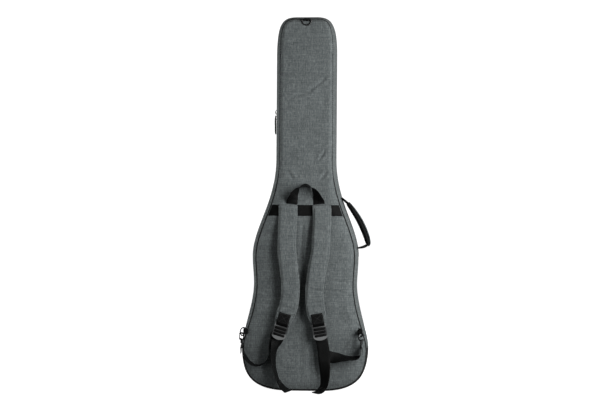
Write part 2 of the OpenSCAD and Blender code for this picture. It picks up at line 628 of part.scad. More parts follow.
RIGHT_RUN = [[[186, -86, 126], -DEEP], [[174, -85, 117], [0, -0.98, -0.2]], [[150, -82, 115], [0, -0.93, -0.37]],
             [[127, -79, 115], [0, -0.8, -0.6]], [[109, -76, 115.5], [0, -0.6, -0.8]],
             [[90, -73, 117], [-0.05, -0.25, -0.96]], [[70, -74.5, 125.5], [-0.68, 0, -0.73]],
             [[62, -77, 146], [-1, 0, -0.1]], [[60, -79.5, 168], [-0.98, 0, -0.17]]];
function lock_tail_rows(route, a, w) =
    [for (p = [[24, -9.6], [12.2, -7.2]]) [lock_point(route, a, 0, p[0], p[1]), w * turn_y(a, ACROSS)]];
module left_webbing() color(black)
    ribbon(concat(eye_rows(LEFT_SIDE, -1), sampled(concat(LEFT_RUN, lock_tail_rows(LEFT_PAD, LEFT_TURN, 1)), 2)),
           webbing_section(webbing_w));
module right_webbing() color(black)
    ribbon(concat(eye_rows(RIGHT_SIDE, 1), sampled(concat(RIGHT_RUN, lock_tail_rows(RIGHT_PAD, RIGHT_TURN, -1)), 2)),
           webbing_section(webbing_w));

// Grab loop that stands up from the top of the band, and the D ring at the head
LOOP_RUN = [[45.5, 0.35, 0.02, 1, 0, 0], [45.5, 5, 0.2, 1, 0.08, 0], [39.5, 15, 0.42, 0.74, 0.68, 0.05],
            [31.5, 18.5, 0.64, 0.55, 0.82, 0.12], [20.5, 21, 0.83, 0.35, 0.88, 0.28], [0, 22, 0.93, 0, 0.92, 0.39]];
loop_seat = fit_gap + webbing_t / 2 + 0.1;
function loop_row(r, s) =
    [[s * r[0], -(panel_y + loop_seat + r[1]), band_top + 2 + r[2] * grab_loop_h], [r[3], -s * r[4], -s * r[5]]];
module grab_loop() color(black)
    ribbon(sampled(concat([for (r = LOOP_RUN) loop_row(r, -1)],
                          [for (k = [len(LOOP_RUN) - 2:-1:0]) loop_flip(loop_row(LOOP_RUN[k], 1))]), 2),
           webbing_section(webbing_w));
function loop_flip(row) = [row[0], -row[1]];

top_bar_z = bag_h - gusset_bow - 2;
top_bar_y = -(panel_y + ring_wire_r + 1.2);
top_tab_w = 24;
top_leg = 3;
module top_ring_tab() color(black) {
    start_y = -(piping_face + fit_gap);
    translate([-top_tab_w / 2, 0, top_bar_z]) rotate([90, 0, 90]) linear_extrude(top_tab_w) difference() {
        union() {
            translate([top_bar_y, bore_r]) square([start_y - top_bar_y, webbing_t]);
            translate([top_bar_y, 0]) circle(r = bore_r + webbing_t);
        }
        translate([top_bar_y, 0]) circle(r = bore_r);
    }
}
module top_ring() color(dark_metal)
    translate([0, top_bar_y, top_bar_z]) rotate([0, 90, 0]) d_ring(top_ring_r, top_leg);

// Carry handle on the right side wall: rows are [share of the span, distance out, share of the lean]
handle_top_z = 651;
handle_low_z = 481;
handle_y = -25;
handle_webbing_w = 26;
handle_lean = 5;
HANDLE_RUN = [[0, 3.4, 0], [0.075, 10.5, 0.6], [0.16, 19, 1], [0.335, 29.5, 1], [0.53, 38, 1], [0.735, 42.5, 1],
              [0.9, 43, 0.55], [0.985, 39.5, 0], [1.01, 24.5, 0], [1, 3.4, 0]];
function side_point(z) =
    let (n = side_normal(z), p = [half_width(z), z] + side_bow(handle_y) * n) [p.x, handle_y, p.y];
function handle_rows() =
    let (a = side_point(handle_top_z), b = side_point(handle_low_z), c = b - a, out = cross(unit(c), DEEP))
    [for (r = HANDLE_RUN)
        [a + r[0] * c + r[1] * out, cos(r[2] * handle_lean) * DEEP - sin(r[2] * handle_lean) * out]];
HANDLE_STEPS = 2;
grip_gap = webbing_t / 2 + 2 * fit_gap;
GRIP_FROM = 4;
GRIP_TO = 14;
function grip_rows() = let (rows = sampled(handle_rows(), HANDLE_STEPS)) [for (k = [GRIP_FROM:GRIP_TO]) rows[k]];
module handle_strap() color(black) ribbon(sampled(handle_rows(), HANDLE_STEPS), webbing_section(handle_webbing_w));
module handle_grip() color(heather)
    ribbon(grip_rows(), soft_section(grip_w, grip_gap, grip_gap + grip_cover_t, 2.5));
module handle_liner() color(black)
    ribbon(grip_rows(), turned_out(soft_section(grip_w - 4, grip_gap, grip_gap + grip_liner_t, 2)));
function turned_out(section) = [for (k = [len(section) - 1:-1:0]) [section[k][0], -section[k][1]]];

// Zip slider in its own frame: the coil runs along Z, the outside is +X, the coil's outer face is x = 0
slider_w = 8.4;
slider_t = 2.2;
bail_r = 6.2;
bail_wire_r = 1.1;
link_r = 0.65;
link_w = 4.2;
link_l = 20;
pull_tab_w = 5;
pull_tab_t = 2.2;
slider_rise = fit_gap + 0.25;
bail_x = slider_rise + slider_t + 0.6;
module slider_plate()
    translate([slider_rise, 0, 0]) rotate([90, 0, 90]) linear_extrude(slider_t)
        polygon([[-slider_w / 2, -slider_l / 2 + 4], [-slider_w / 2 + 2, -slider_l / 2],
                 [slider_w / 2 - 2, -slider_l / 2], [slider_w / 2, -slider_l / 2 + 4],
                 [slider_w / 2, slider_l / 2 - 5], [slider_w / 2 - 1, slider_l / 2],
                 [-slider_w / 2 + 1, slider_l / 2], [-slider_w / 2, slider_l / 2 - 5]]);
module bail(lane)
    translate([bail_x - 1, lane, 0]) rotate([90, 0, 0]) rotate([0, 0, -90])
        rotate_extrude(angle = 180) translate([bail_r, 0]) circle(r = bail_wire_r);
module slider(lane) {
    slider_plate();
    bail(lane);
}
// A pull hangs along -Z from its own origin, the middle of the link's top bar
module pull() {
    for (t = [-1, 1]) translate([0, t * link_w / 2, -link_l]) {
        cylinder(r = link_r, h = link_l, $fn = 16);
        translate([0, 0, link_l]) sphere(r = link_r, $fn = 16);
    }
    for (z = [0, -link_l + 3]) translate([0, -link_w / 2, z]) rotate([-90, 0, 0])
        cylinder(r = link_r, h = link_w, $fn = 16);
    translate([-pull_tab_t / 2, -pull_tab_w / 2, -link_l - pull_tab_l + 4]) cube([pull_tab_t, pull_tab_w, pull_tab_l]);
}
zip_face_x = -(neck_w / 2 - side_bow(zip_y) - tape_in + coil_rise);
pull_out = bail_x - 1 + bail_r - bail_wire_r - link_r - 0.45;
pull_up = -0.6;
slider_gap = slider_l / 2 + 1;
lane = 3;
module main_slider(z, turn, at) color(metal)
    translate([zip_face_x, zip_y, z]) rotate([0, 0, 180]) rotate([turn, 0, 0]) slider(at);
module main_pull(z, at) color(black)
    translate([zip_face_x - pull_out, zip_y + at, z + pull_up]) pull();
module upper_slider() main_slider(slider_z + slider_gap, 180, -lane);
module lower_slider() main_slider(slider_z - slider_gap, 0, -lane);
module upper_pull() main_pull(slider_z + slider_gap, -lane);
module lower_pull() main_pull(slider_z - slider_gap, lane);

// Flat padded pocket on the front
pocket_y = panel_y + fit_gap;
POCKET_STEPS = [[0, 0], [0, 0.55], [5, 0.88], [20, 1]];
function pocket_ring(step) =
    [for (i = [COUNT - I_UPPER:COUNT + I_UPPER])
        wall_point(i, pocket_inset + step[0], pocket_y + step[1] * pocket_t)];
POCKET_CAP = concat(rungs(0, 2 * I_UPPER, I_UPPER - 2), flat_end(2 * I_UPPER + 1, I_UPPER - 2));
module body_pocket() color(heather) skin([for (s = POCKET_STEPS) pocket_ring(s)], cap = POCKET_CAP);
pocket_zip_l = 220;
pocket_zip_z = upper_bout_z - 26;
pocket_tape_w = 16;
pocket_face_y = pocket_y + pocket_t;
pocket_coil_t = 1.8;
module body_pocket_zip() color(black) {
    translate([-pocket_zip_l / 2, pocket_face_y + fit_gap, pocket_zip_z - pocket_tape_w / 2])
        cube([pocket_zip_l, tape_t, pocket_tape_w]);
    translate([-pocket_zip_l / 2, pocket_face_y + fit_gap, pocket_zip_z - coil_w / 2])
        cube([pocket_zip_l, tape_t + pocket_coil_t, coil_w]);
}
pocket_coil_y = pocket_face_y + fit_gap + tape_t + pocket_coil_t;
pocket_slider_x = -pocket_zip_l / 2 + 30;
module body_pocket_slider() color(metal)
    translate([pocket_slider_x, pocket_coil_y, pocket_zip_z]) rotate([0, 0, 90]) slider_across();
module slider_across() {
    rotate([90, 0, 0]) slider_plate();
    bail(0);
}
module body_pocket_pull() color(black)
    translate([pocket_slider_x, pocket_coil_y + pull_out, pocket_zip_z + pull_up]) rotate([0, 0, 90]) pull();

// Foam pieces inside: a cradle for the neck with its strap, and a pad under the body's end
rest_y = -(lining_y - lining_t - fit_gap);
cradle_w = neck_w - 2 * (wall_depth + lining_t + 2 * fit_gap);
cradle_t = 34;
channel_out = 14;
module neck_cradle() color(plush)
    translate([0, rest_y, cradle_z]) linear_extrude(cradle_h) difference() {
        translate([-cradle_w / 2, 0]) square([cradle_w, cradle_t]);
        translate([0, cradle_t + channel_out]) circle(r = channel_r, $fn = 64);
    }
strap_h = 30;
strap_t = 2;
module neck_strap() color(black)
    translate([-cradle_w / 2 + 2, rest_y + cradle_t + fit_gap, cradle_z + (cradle_h - strap_h) / 2])
        cube([cradle_w - 14, strap_t, strap_h]);
end_pad_w = 150;
end_pad_z = wall_depth + lining_t + fit_gap;
end_pad_r = 190;
module end_pad() color(plush)
    translate([0, rear_edge - 2, 0]) rotate([90, 0, 0]) linear_extrude(rear_edge - 2 - rest_y)
        difference() {
            intersection() {
                polygon(outline(end_pad_z));
                translate([-end_pad_w / 2, 0]) square([end_pad_w, end_pad_z + end_pad_h]);
            }
            translate([0, end_pad_z + end_pad_r + 0.6 * end_pad_h]) circle(r = end_pad_r, $fn = 96);
        }

back_panel();
back_foam();
back_lining();
rear_gusset();
rear_gusset_foam();
rear_base_guard();
back_piping();
front_panel();
front_foam();
front_lining();
front_gusset();
front_gusset_foam();
front_base_guard();
front_piping();
rear_zip_tape();
front_zip_tape();
rear_zip_coil();
front_zip_coil();
spine_strip();
shoulder_band();
top_ring_tab();
top_ring();
left_ring_tab();
right_ring_tab();
left_ring();
right_ring();
left_hook();
right_hook();
left_gate();
right_gate();
left_eye();
right_eye();
left_pad();
right_pad();
left_mesh();
right_mesh();
left_patch();
right_patch();
left_lock();
right_lock();
left_tail();
right_tail();
left_webbing();
right_webbing();
grab_loop();
handle_strap();
handle_grip();
handle_liner();
upper_slider();
lower_slider();
upper_pull();
lower_pull();
body_pocket();
body_pocket_zip();
body_pocket_slider();
body_pocket_pull();
neck_cradle();
neck_strap();
end_pad();
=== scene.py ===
"""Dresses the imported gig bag: padded fabric shells, straps, webbing, zips and hardware finishes.

Sizes are in millimetres, as in the part's source, and become metres where a mesh is made.
The bag stands on its base; its back, with the shoulder straps, faces -Y.
"""

from math import cos, hypot, pi, radians, sin

import bpy
import numpy as np
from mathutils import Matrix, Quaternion, Vector, noise
from mathutils.kdtree import KDTree


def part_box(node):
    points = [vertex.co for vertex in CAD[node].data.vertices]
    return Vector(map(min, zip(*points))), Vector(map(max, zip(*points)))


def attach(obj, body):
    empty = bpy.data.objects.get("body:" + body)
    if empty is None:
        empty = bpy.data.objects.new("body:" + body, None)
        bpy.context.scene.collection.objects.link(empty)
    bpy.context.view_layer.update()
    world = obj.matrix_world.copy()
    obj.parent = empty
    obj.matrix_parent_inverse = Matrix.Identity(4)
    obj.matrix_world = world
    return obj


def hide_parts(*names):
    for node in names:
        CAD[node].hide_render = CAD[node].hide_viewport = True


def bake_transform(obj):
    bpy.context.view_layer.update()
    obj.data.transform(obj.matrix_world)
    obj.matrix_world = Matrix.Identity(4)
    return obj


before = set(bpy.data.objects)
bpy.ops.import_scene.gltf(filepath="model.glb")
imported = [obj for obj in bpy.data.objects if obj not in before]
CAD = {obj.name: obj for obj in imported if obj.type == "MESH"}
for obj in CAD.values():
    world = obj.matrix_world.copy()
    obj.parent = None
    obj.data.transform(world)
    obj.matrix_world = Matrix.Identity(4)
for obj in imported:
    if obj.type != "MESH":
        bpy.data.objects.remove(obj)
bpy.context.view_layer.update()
MM = 0.001

# Outline
BAG_H = 1260
LOWER_W, LOWER_Z = 426, 146
WAIST_W, WAIST_Z = 348, 357
UPPER_W, UPPER_Z = 357, 450
NECK_W, NECK_FOOT_Z = 201, 780
HEAD_CORNER_H = 130
TOP_FLAT_W, BASE_FLAT_W = 60, 100

# Walls
SEAM_Y = 52
PANEL_CROWN = 9
PANEL_Y = SEAM_Y + PANEL_CROWN
NECK_REACH, BODY_REACH = 11, 30
CROWN_POWER = 1.6
GUSSET_BOW = 13
BASE_EDGE_H = 5
BASE_FLAT = 0.76
PIPING_R = 2.6
BOW_FROM_Z, BOW_RUN = 120, 160
NECK_FROM_Z, NECK_RUN = 620, 180
OUTLINE_STEP = 4.5
FABRIC_T, GUARD_T = 1.5, 1.8

# Lining: its rim as [inset from the outline, depth from the zip], its turn into the floor as [inset, above the floor]
LINING_RIM = [(3.6, 1.2), (9, 0.7), (16, 0.6), (21, 1.0), (23.6, 2.6), (24.6, 6), (25, 12)]
LINING_TURN = [(25.4, 4), (26.8, 1.8), (30, 0.7)]
LINING_INSET, LINING_FLOOR_INSET, LINING_CORNER = 25.0, 29.5, 7
LINING_Y = 42.9

# Zip
ZIP_Y = 14
SKIN_GAP = 5
TAPE_IN = 2.1
TAPE_T = 1.2
TAPE_W = 10
TOOTH_PITCH = 2.6
EDGE_R = 1.6
HALF_GAP = 0.6

# Straps
CLEAR = 0.3
WEBBING_W, WEBBING_T = 38, 1.7
PAD_W, PAD_T = 65, 12
BAND_Z, BAND_TOP = 588, 624
BAND_PROUD = 1.75
PAD_SEAT = BAND_PROUD + WEBBING_T / 2 + CLEAR + PAD_T / 2
LOCK_DROP, LOCK_BAR_R = 10, 2.6
STITCH_PITCH, STITCH_SHARE, STITCH_R = 4.4, 0.72, 0.38

ACROSS, DEEP, UP = np.eye(3)
HAND = {"left": -1, "right": 1}


def unit(v):
    v = np.asarray(v, float)
    return v / np.linalg.norm(v, axis=-1, keepdims=True)


def turns(count):
    return np.linspace(0, 2 * pi, count, endpoint=False)


def smooth(t):
    t = np.clip(t, 0, 1)
    return t * t * (3 - 2 * t)


# The bag's outline, as [x, z] points with inward normals


def half_curves():
    """Cubic curves of the right half, each starting where the last one ends."""
    b, l, w, u = BASE_FLAT_W / 2, LOWER_W / 2, WAIST_W / 2, UPPER_W / 2
    n, t, head = NECK_W / 2, TOP_FLAT_W / 2, BAG_H - HEAD_CORNER_H
    low, mid = WAIST_Z - LOWER_Z, 0.33 * (UPPER_Z - WAIST_Z)
    high = NECK_FOOT_Z - UPPER_Z
    chain = np.array([
        [0, 0],
        [b / 3, 0], [2 * b / 3, 0], [b, 0],
        [b + 0.74 * (l - b), 0], [l, 0.3 * LOWER_Z], [l, LOWER_Z],
        [l, LOWER_Z + 0.2 * low], [w, WAIST_Z - 0.35 * low], [w, WAIST_Z],
        [w, WAIST_Z + mid], [u, UPPER_Z - mid], [u, UPPER_Z],
        [u, UPPER_Z + 0.3 * high], [n, NECK_FOOT_Z - 0.45 * high], [n, NECK_FOOT_Z],
        [n, NECK_FOOT_Z + 1], [n, head - 1], [n, head],
        [n, head + 0.9 * HEAD_CORNER_H], [t + 0.7 * (n - t), BAG_H], [t, BAG_H],
        [2 * t / 3, BAG_H], [t / 3, BAG_H], [0, BAG_H],
    ])
    return [chain[k:k + 4] for k in range(0, len(chain) - 1, 3)]


def sampled_outline():
    """Points and inward normals of the whole outline, from the middle of the base up the right side
    and down the left, and the index where each curve of the right half starts."""
    points, normals, starts = [], [], []
    for c in half_curves():
        steps = max(2, round(np.linalg.norm(np.diff(c, axis=0), axis=1).sum() / OUTLINE_STEP))
        starts.append(len(points))
        for t in np.arange(steps) / steps:
            s = 1 - t
            points.append(s**3 * c[0] + 3 * s * s * t * c[1] + 3 * s * t * t * c[2] + t**3 * c[3])
            d = unit(s * s * (c[1] - c[0]) + 2 * s * t * (c[2] - c[1]) + t * t * (c[3] - c[2]))
            normals.append([-d[1], d[0]])
    right, inward = np.array(points), np.array(normals)
    flip = np.array([-1, 1])
    return (np.vstack([right, [[0, BAG_H]], right[:0:-1] * flip]),
            np.vstack([inward, [[0, -1]], inward[:0:-1] * flip]), starts + [len(points)])


LOOP, INWARD, STARTS = sampled_outline()
COUNT = len(LOOP)
I_FLAT, I_LOWER, I_UPPER, I_TOP = STARTS[1], STARTS[2], STARTS[4], STARTS[7]


def bow(z, y):
    """How far the outer face lies inside the outline at depth y: bowed at the sides, flat under the base."""
    s = np.abs(y) / SEAM_Y
    edge = np.maximum(0, (s - BASE_FLAT) / (1 - BASE_FLAT))
    base = 1 - smooth(z / LOWER_Z)
    side = GUSSET_BOW * (0.5 + 0.5 * smooth((z - BOW_FROM_Z) / BOW_RUN))
    return (1 - base) * side * s * s + base * BASE_EDGE_H * edge * edge


def wall_rows(index, insets, depths, bowed=True):
    """Rows of points round the bag: one row for each outline index, one point for each inset and depth."""
    index = np.asarray(index) % COUNT
    p, n = LOOP[index][:, None, :], INWARD[index][:, None, :]
    insets, depths = np.asarray(insets, float), np.asarray(depths, float)
    inset = insets + (bow(p[..., 1], depths) if bowed else 0 * depths)
    xz = p + inset[..., None] * n
    return np.stack([xz[..., 0], np.broadcast_to(depths, xz.shape[:2]), xz[..., 1]], -1)


def loop_inside(inset, depth=0, bowed=False):
    """The outline as [x, z] points, moved inwards."""
    return wall_rows(range(COUNT), [inset], [depth], bowed)[:, 0][:, [0, 2]]


SEAM = loop_inside(0, SEAM_Y, bowed=True)


def search_tree(points):
    """A tree over points, which may be flat."""
    tree = KDTree(len(points))
    for k, point in enumerate(points):
        tree.insert((*point, 0)[:3], k)
    tree.balance()
    return tree


def each(function, x, z):
    """What a function of two numbers gives at every point of a grid."""
    return np.array([function(a, b) for a, b in zip(np.ravel(x), np.ravel(z))]).reshape(np.shape(x))


def distance_to(tree, x, z):
    return each(lambda a, b: tree.find((a, b, 0))[2], x, z)


def wobble(x, z, size_x, size_z, seed):
    """Smooth noise from -1 to 1 over a surface."""
    return each(lambda a, b: noise.noise(Vector((a / size_x, b / size_z, seed))), x, z)


SEAM_TREE = search_tree(SEAM)
# Slack of the panels' fabric: [height, size across, size up, shift of the seed]
SLACK = [[1.3, 120, 170, 0], [0.5, 38, 55, 5]]
FOLD_FADE = 0.35
FOLD_RIM_H, FOLD_RIM_PLACE = 0.45, 1.7
PUCKER_H, PUCKER_PITCH = 0.35, 3.1
# Soft folds of the back panel: from x and z, to x and z, width and depth, all in millimetres
BACK_FOLDS = [
    [-168, 330, -118, 392, 16, 2.2], [-190, 200, -120, 250, 22, 1.8], [78, 1060, -4, 996, 6, 2.5],
    [14, 1004, -66, 980, 7, 2.2], [70, 815, 38, 764, 5, 2.8], [78, 746, 44, 704, 6, 2.4],
    [-64, 744, -38, 704, 6, 2.0], [-12, 210, -15, 22, 5, 1.6], [19, 215, 18, 30, 6, 2.4],
    [172, 196, 150, 128, 8, 3.2], [186, 150, 130, 138, 7, 1.6], [120, 420, 150, 330, 18, 1.4],
    [-9, 596, -13, 400, 6, 2.6], [-130, 560, -112, 440, 26, 1.8], [-150, 640, -96, 690, 14, 1.2],
    [-166, 354, -122, 320, 6, 2.2], [-162, 296, -132, 268, 6, 2.0], [-168, 479, -136, 465, 6, 1.7],
    [66, 372, 152, 368, 4, 1.3], [60, 338, 152, 331, 5, 1.4],
]


def relief(x, z, seed, folds):
    """Slack of the fabric over the foam, outwards. A fold is a valley between two low rims."""
    total = sum(height * wobble(x, z, wide, high, seed + shift) for height, wide, high, shift in SLACK)
    for x0, z0, x1, z1, width, depth in folds:
        dx, dz = x1 - x0, z1 - z0
        length = hypot(dx, dz)
        along = ((x - x0) * dx + (z - z0) * dz) / length
        side = ((x - x0) * dz - (z - z0) * dx) / length
        ends = smooth(along / (FOLD_FADE * length)) * smooth((length - along) / (FOLD_FADE * length))
        rims = np.exp(-((np.abs(side) - FOLD_RIM_PLACE * width) / width) ** 2)
        total = total - depth * ends * (np.exp(-(side / width) ** 2) - FOLD_RIM_H * rims)
    return total


def panel_depth(x, z, seed=1.0, folds=BACK_FOLDS):
    """Distance of a panel's face from the middle plane of the bag."""
    d = distance_to(SEAM_TREE, x, z)
    reach = BODY_REACH + (NECK_REACH - BODY_REACH) * smooth((np.asarray(z) - NECK_FROM_Z) / NECK_RUN)
    rise = 1 - (1 - np.clip(d / reach, 0, 1)) ** CROWN_POWER
    loose = smooth((d - 5) / 30)
    pucker = PUCKER_H * np.sin((np.asarray(x) + np.asarray(z)) / PUCKER_PITCH)
    pucker = pucker * smooth((16 - d) / 10) * smooth((d - 2) / 4)
    return SEAM_Y + PANEL_CROWN * rise + loose * relief(x, z, seed, folds) + pucker


# Meshes


def new_object(name, data):
    made = bpy.data.objects.new(name, data)
    bpy.context.scene.collection.objects.link(made)
    return made


def mesh_object(name, points, faces):
    mesh = bpy.data.meshes.new(name)
    mesh.from_pydata((np.reshape(points, (-1, 3)) * MM).tolist(), [], faces)
    return new_object(name, mesh)


def apply_modifiers(obj):
    obj.data = bpy.data.meshes.new_from_object(obj.evaluated_get(bpy.context.evaluated_depsgraph_get()))
    obj.modifiers.clear()


def grid(name, rows, ring=False, tube=False, uv=None, flip=False):
    """A mesh over rows of points. A ring closes the rows on each other, and a tube closes each row.
    The map named weave holds metres along the rows and across them."""
    rows = np.asarray(rows, float)
    n, m = rows.shape[:2]
    i, j = np.meshgrid(np.arange(n if ring else n - 1), np.arange(m if tube else m - 1), indexing="ij")
    corners = [(i, j), (i + 1, j), (i + 1, j + 1), (i, j + 1)]
    if flip:
        corners = corners[::-1]
    quads = np.stack([(a % n) * m + b % m for a, b in corners], -1).reshape(-1, 4)
    faces = quads.tolist()
    if tube and not ring:
        ends = [list(range(m)), list(range(n * m - 1, (n - 1) * m - 1, -1))]
        faces += [e[::-1] for e in ends] if flip else ends
    made = mesh_object(name, rows, faces)
    mesh = made.data
    if uv is None:
        wrapped = np.concatenate([rows, rows[:1]]) if ring else rows
        wrapped = np.concatenate([wrapped, wrapped[:, :1]], 1) if tube else wrapped
        u = np.append(0, np.cumsum(np.linalg.norm(np.diff(wrapped, axis=0), axis=2).mean(1)))
        v = np.append(0, np.cumsum(np.linalg.norm(np.diff(wrapped, axis=1), axis=2).mean(0)))
        uv = np.stack(np.meshgrid(v, u), -1) * MM
    places = np.zeros((len(mesh.loops), 2))
    places[: 4 * len(quads)] = np.stack([uv[a, b] for a, b in corners], 2).reshape(-1, 2)
    mesh.uv_layers.new(name="weave").data.foreach_set("uv", places.astype(np.float32).ravel())
    mesh.shade_smooth()
    return made


def dress(obj, material, body, slot, *nodes):
    """Gives a piece its material and its body, and hides the CAD nodes that it stands for."""
    obj.data.materials.append(material)
    if body:
        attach(obj, body)
    if nodes:
        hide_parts(*nodes)
    return obj


def thicken(obj, thickness):
    made = obj.modifiers.new("thickness", "SOLIDIFY")
    made.thickness, made.offset = thickness * MM, -1
    return obj


def sampled(rows, steps):
    """The source's smooth run through control rows; every row is [point, width direction]."""
    rows = np.array(rows, float)
    n = len(rows) - 1
    made = []
    for i in range(n):
        a, b, c, d = rows[max(0, i - 1)], rows[i], rows[i + 1], rows[min(n, i + 2)]
        for t in np.arange(steps) / steps:
            made.append(0.5 * (2 * b + (c - a) * t + (2 * a - 5 * b + 4 * c - d) * t * t
                               + (3 * b - a - 3 * c + d) * t**3))
    return np.array(made + [rows[n]])


def squared(v, t):
    """Directions turned square to a run's direction."""
    return unit(v - (v * t).sum(1, keepdims=True) * t)


def frames(rows):
    """Points, width directions and outward directions along a run."""
    p, w = rows[:, 0], rows[:, 1]
    t = np.empty_like(p)
    t[1:-1], t[0], t[-1] = p[2:] - p[:-2], p[1] - p[0], p[-1] - p[-2]
    t = unit(t)
    w = squared(w, t)
    return p, w, np.cross(t, w)


def ribbon(name, rows, section):
    """A strip along a run. A section is a list of [across, out], or one such list for each row."""
    p, w, o = frames(np.asarray(rows))
    s = np.asarray(section, float)
    s = np.broadcast_to(s, (len(p),) + s.shape[-2:])
    return grid(name, p[:, None] + s[..., :1] * w[:, None] + s[..., 1:] * o[:, None], tube=True)


def webbing_section(w, t):
    a = np.linspace(-1, 1, 9)
    face = 0.5 * t * (1 - 0.3 * np.abs(a) ** 6)
    top = np.stack([a * w / 2, face], 1)
    return np.vstack([top, [[w / 2 + 0.25, 0]], (top * [1, -1])[::-1], [[-w / 2 - 0.25, 0]]])


def soft_section(w, low, high, points, power):
    """A rounded section between two heights, squarer with a higher power."""
    a = turns(points)
    c, s = np.cos(a), np.sin(a)
    x = np.sign(c) * np.abs(c) ** (2 / power) * w / 2
    y = np.sign(s) * np.abs(s) ** (2 / power) * (high - low) / 2 + (high + low) / 2
    return np.stack([x, y], 1)[::-1]


def repeated(faces, size, copies):
    """Faces of one small piece, for many copies of it with size points each."""
    faces = np.array(faces)
    return (faces[None] + size * np.arange(copies)[:, None, None]).reshape(-1, faces.shape[1]).tolist()


def tube_faces(rings, corners, copies):
    """Side faces of many small tubes, whose points come ring by ring."""
    pairs = [(r * corners, k, (k + 1) % corners) for r in range(rings - 1) for k in range(corners)]
    return repeated([[r + k, r + j, r + corners + j, r + corners + k] for r, k, j in pairs], rings * corners, copies)


def arc_lengths(points):
    return np.append(0, np.cumsum(np.linalg.norm(np.diff(points, axis=0), axis=1)))


def at_places(places, arc, values):
    """Values along a run, at places along it."""
    return np.stack([np.interp(places, arc, column) for column in values.T], 1)


# A stitch: rings of [share of its length, share of its radius, lift in radii]
STITCH_RINGS = ((0, 0.3, -0.6), (0.2, 1, 0.5), (0.8, 1, 0.5), (1, 0.3, -0.6))
STITCH_SIDES = 5


def spindles(name, starts, ends, outs, radius):
    """Stitches from starts to ends, each a short thread whose ends dive into the cloth."""
    along = unit(ends - starts)
    outs = squared(outs, along)
    side = np.cross(along, outs)
    turn = turns(STITCH_SIDES)
    rings = []
    for t, r, lift in STITCH_RINGS:
        middle = starts + t * (ends - starts) + lift * radius * outs
        rings.append(middle[:, None] + r * radius * (np.cos(turn)[None, :, None] * side[:, None]
                                                     + np.sin(turn)[None, :, None] * outs[:, None]))
    made = mesh_object(name, np.stack(rings, 1), tube_faces(len(STITCH_RINGS), STITCH_SIDES, len(starts)))
    made.data.shade_smooth()
    return made


def stitch_run(points, outs, pitch):
    """Starts, ends and outward directions of a row of stitches along a run."""
    arc, outs = arc_lengths(points), np.broadcast_to(outs, points.shape)
    at = np.arange(0.2 * pitch, arc[-1] - pitch, pitch)
    return (at_places(at, arc, points), at_places(at + STITCH_SHARE * pitch, arc, points),
            at_places(at + 0.4 * pitch, arc, outs))


def stitches(name, runs, material, body, slot, radius=STITCH_R, pitch=STITCH_PITCH):
    parts = [stitch_run(p, o, pitch) for p, o in runs]
    made = spindles(name, *[np.concatenate([part[k] for part in parts]) for k in range(3)], radius)
    return dress(made, material, body, slot)


# Materials
THREAD_PITCH = 1.15
CORD_PITCH, RIB_PITCH = 2.4, 1.7


class Nodes:
    """The nodes of a material or world. Inputs are numbers, tuples or the output sockets of other nodes."""

    def __init__(self, owner, output):
        owner.use_nodes = True
        self.owner, self.tree = owner, owner.node_tree
        self.output = self.tree.nodes[output]

    def plug(self, node, inputs):
        for key, value in inputs.items():
            if isinstance(value, bpy.types.NodeSocket):
                self.tree.links.new(value, node.inputs[key])
            else:
                node.inputs[key].default_value = value

    def add(self, kind, inputs=None, **settings):
        made = self.tree.nodes.new("ShaderNode" + kind)
        for key, value in settings.items():
            setattr(made, key, value)
        self.plug(made, inputs or {})
        return made

    def calc(self, operation, a, b=0.0):
        return self.add("Math", {0: a, 1: b}, operation=operation).outputs[0]

    def total(self, *terms):
        """Sum of sockets, each given with its weight."""
        total = None
        for source, weight in terms:
            part = self.calc("MULTIPLY", source, weight)
            total = part if total is None else self.calc("ADD", total, part)
        return total

    def wave(self, source, pitch):
        return self.calc("SINE", self.calc("MULTIPLY", source, 2 * pi / (pitch * MM)))

    def noise(self, place, x, y, z, detail=2.0, rough=0.5):
        """Noise with about x, y and z changes to the metre."""
        vector = self.add("VectorMath", {0: place, 1: (x, y, z)}, operation="MULTIPLY").outputs[0]
        made = self.add("TexNoise", {"Vector": vector, "Scale": 1, "Detail": detail, "Roughness": rough})
        return made.outputs["Fac"]

    def ramp(self, factor, *stops):
        made = self.add("ValToRGB", {"Fac": factor})
        while len(made.color_ramp.elements) < len(stops):
            made.color_ramp.elements.new(0.5)
        for element, (place, colour) in zip(made.color_ramp.elements, stops):
            element.position, element.color = place, (*np.broadcast_to(colour, 3), 1)
        return made.outputs["Color"]

    def bump(self, height, strength, distance):
        made = self.add("Bump", {"Height": height, "Strength": strength, "Distance": distance * MM})
        return made.outputs["Normal"]

    def span(self, value, low, high):
        return self.add("MapRange", {"Value": value, "To Min": low, "To Max": high}).outputs["Result"]

    def place(self):
        return self.add("TexCoord").outputs["Object"]

    def weave(self):
        """The weave map, and its two directions: across and along."""
        uv = self.add("UVMap", uv_map="weave").outputs["UV"]
        return uv, *self.add("SeparateXYZ", {0: uv}).outputs[:2]

    def finish(self, colour, roughness, **sockets):
        sockets = {"Base Color": colour, "Roughness": roughness, **sockets}
        self.plug(self.output, {key.replace("_", " "): value for key, value in sockets.items()})
        return self.owner


def shader(name):
    return Nodes(bpy.data.materials.new(name), "Principled BSDF")


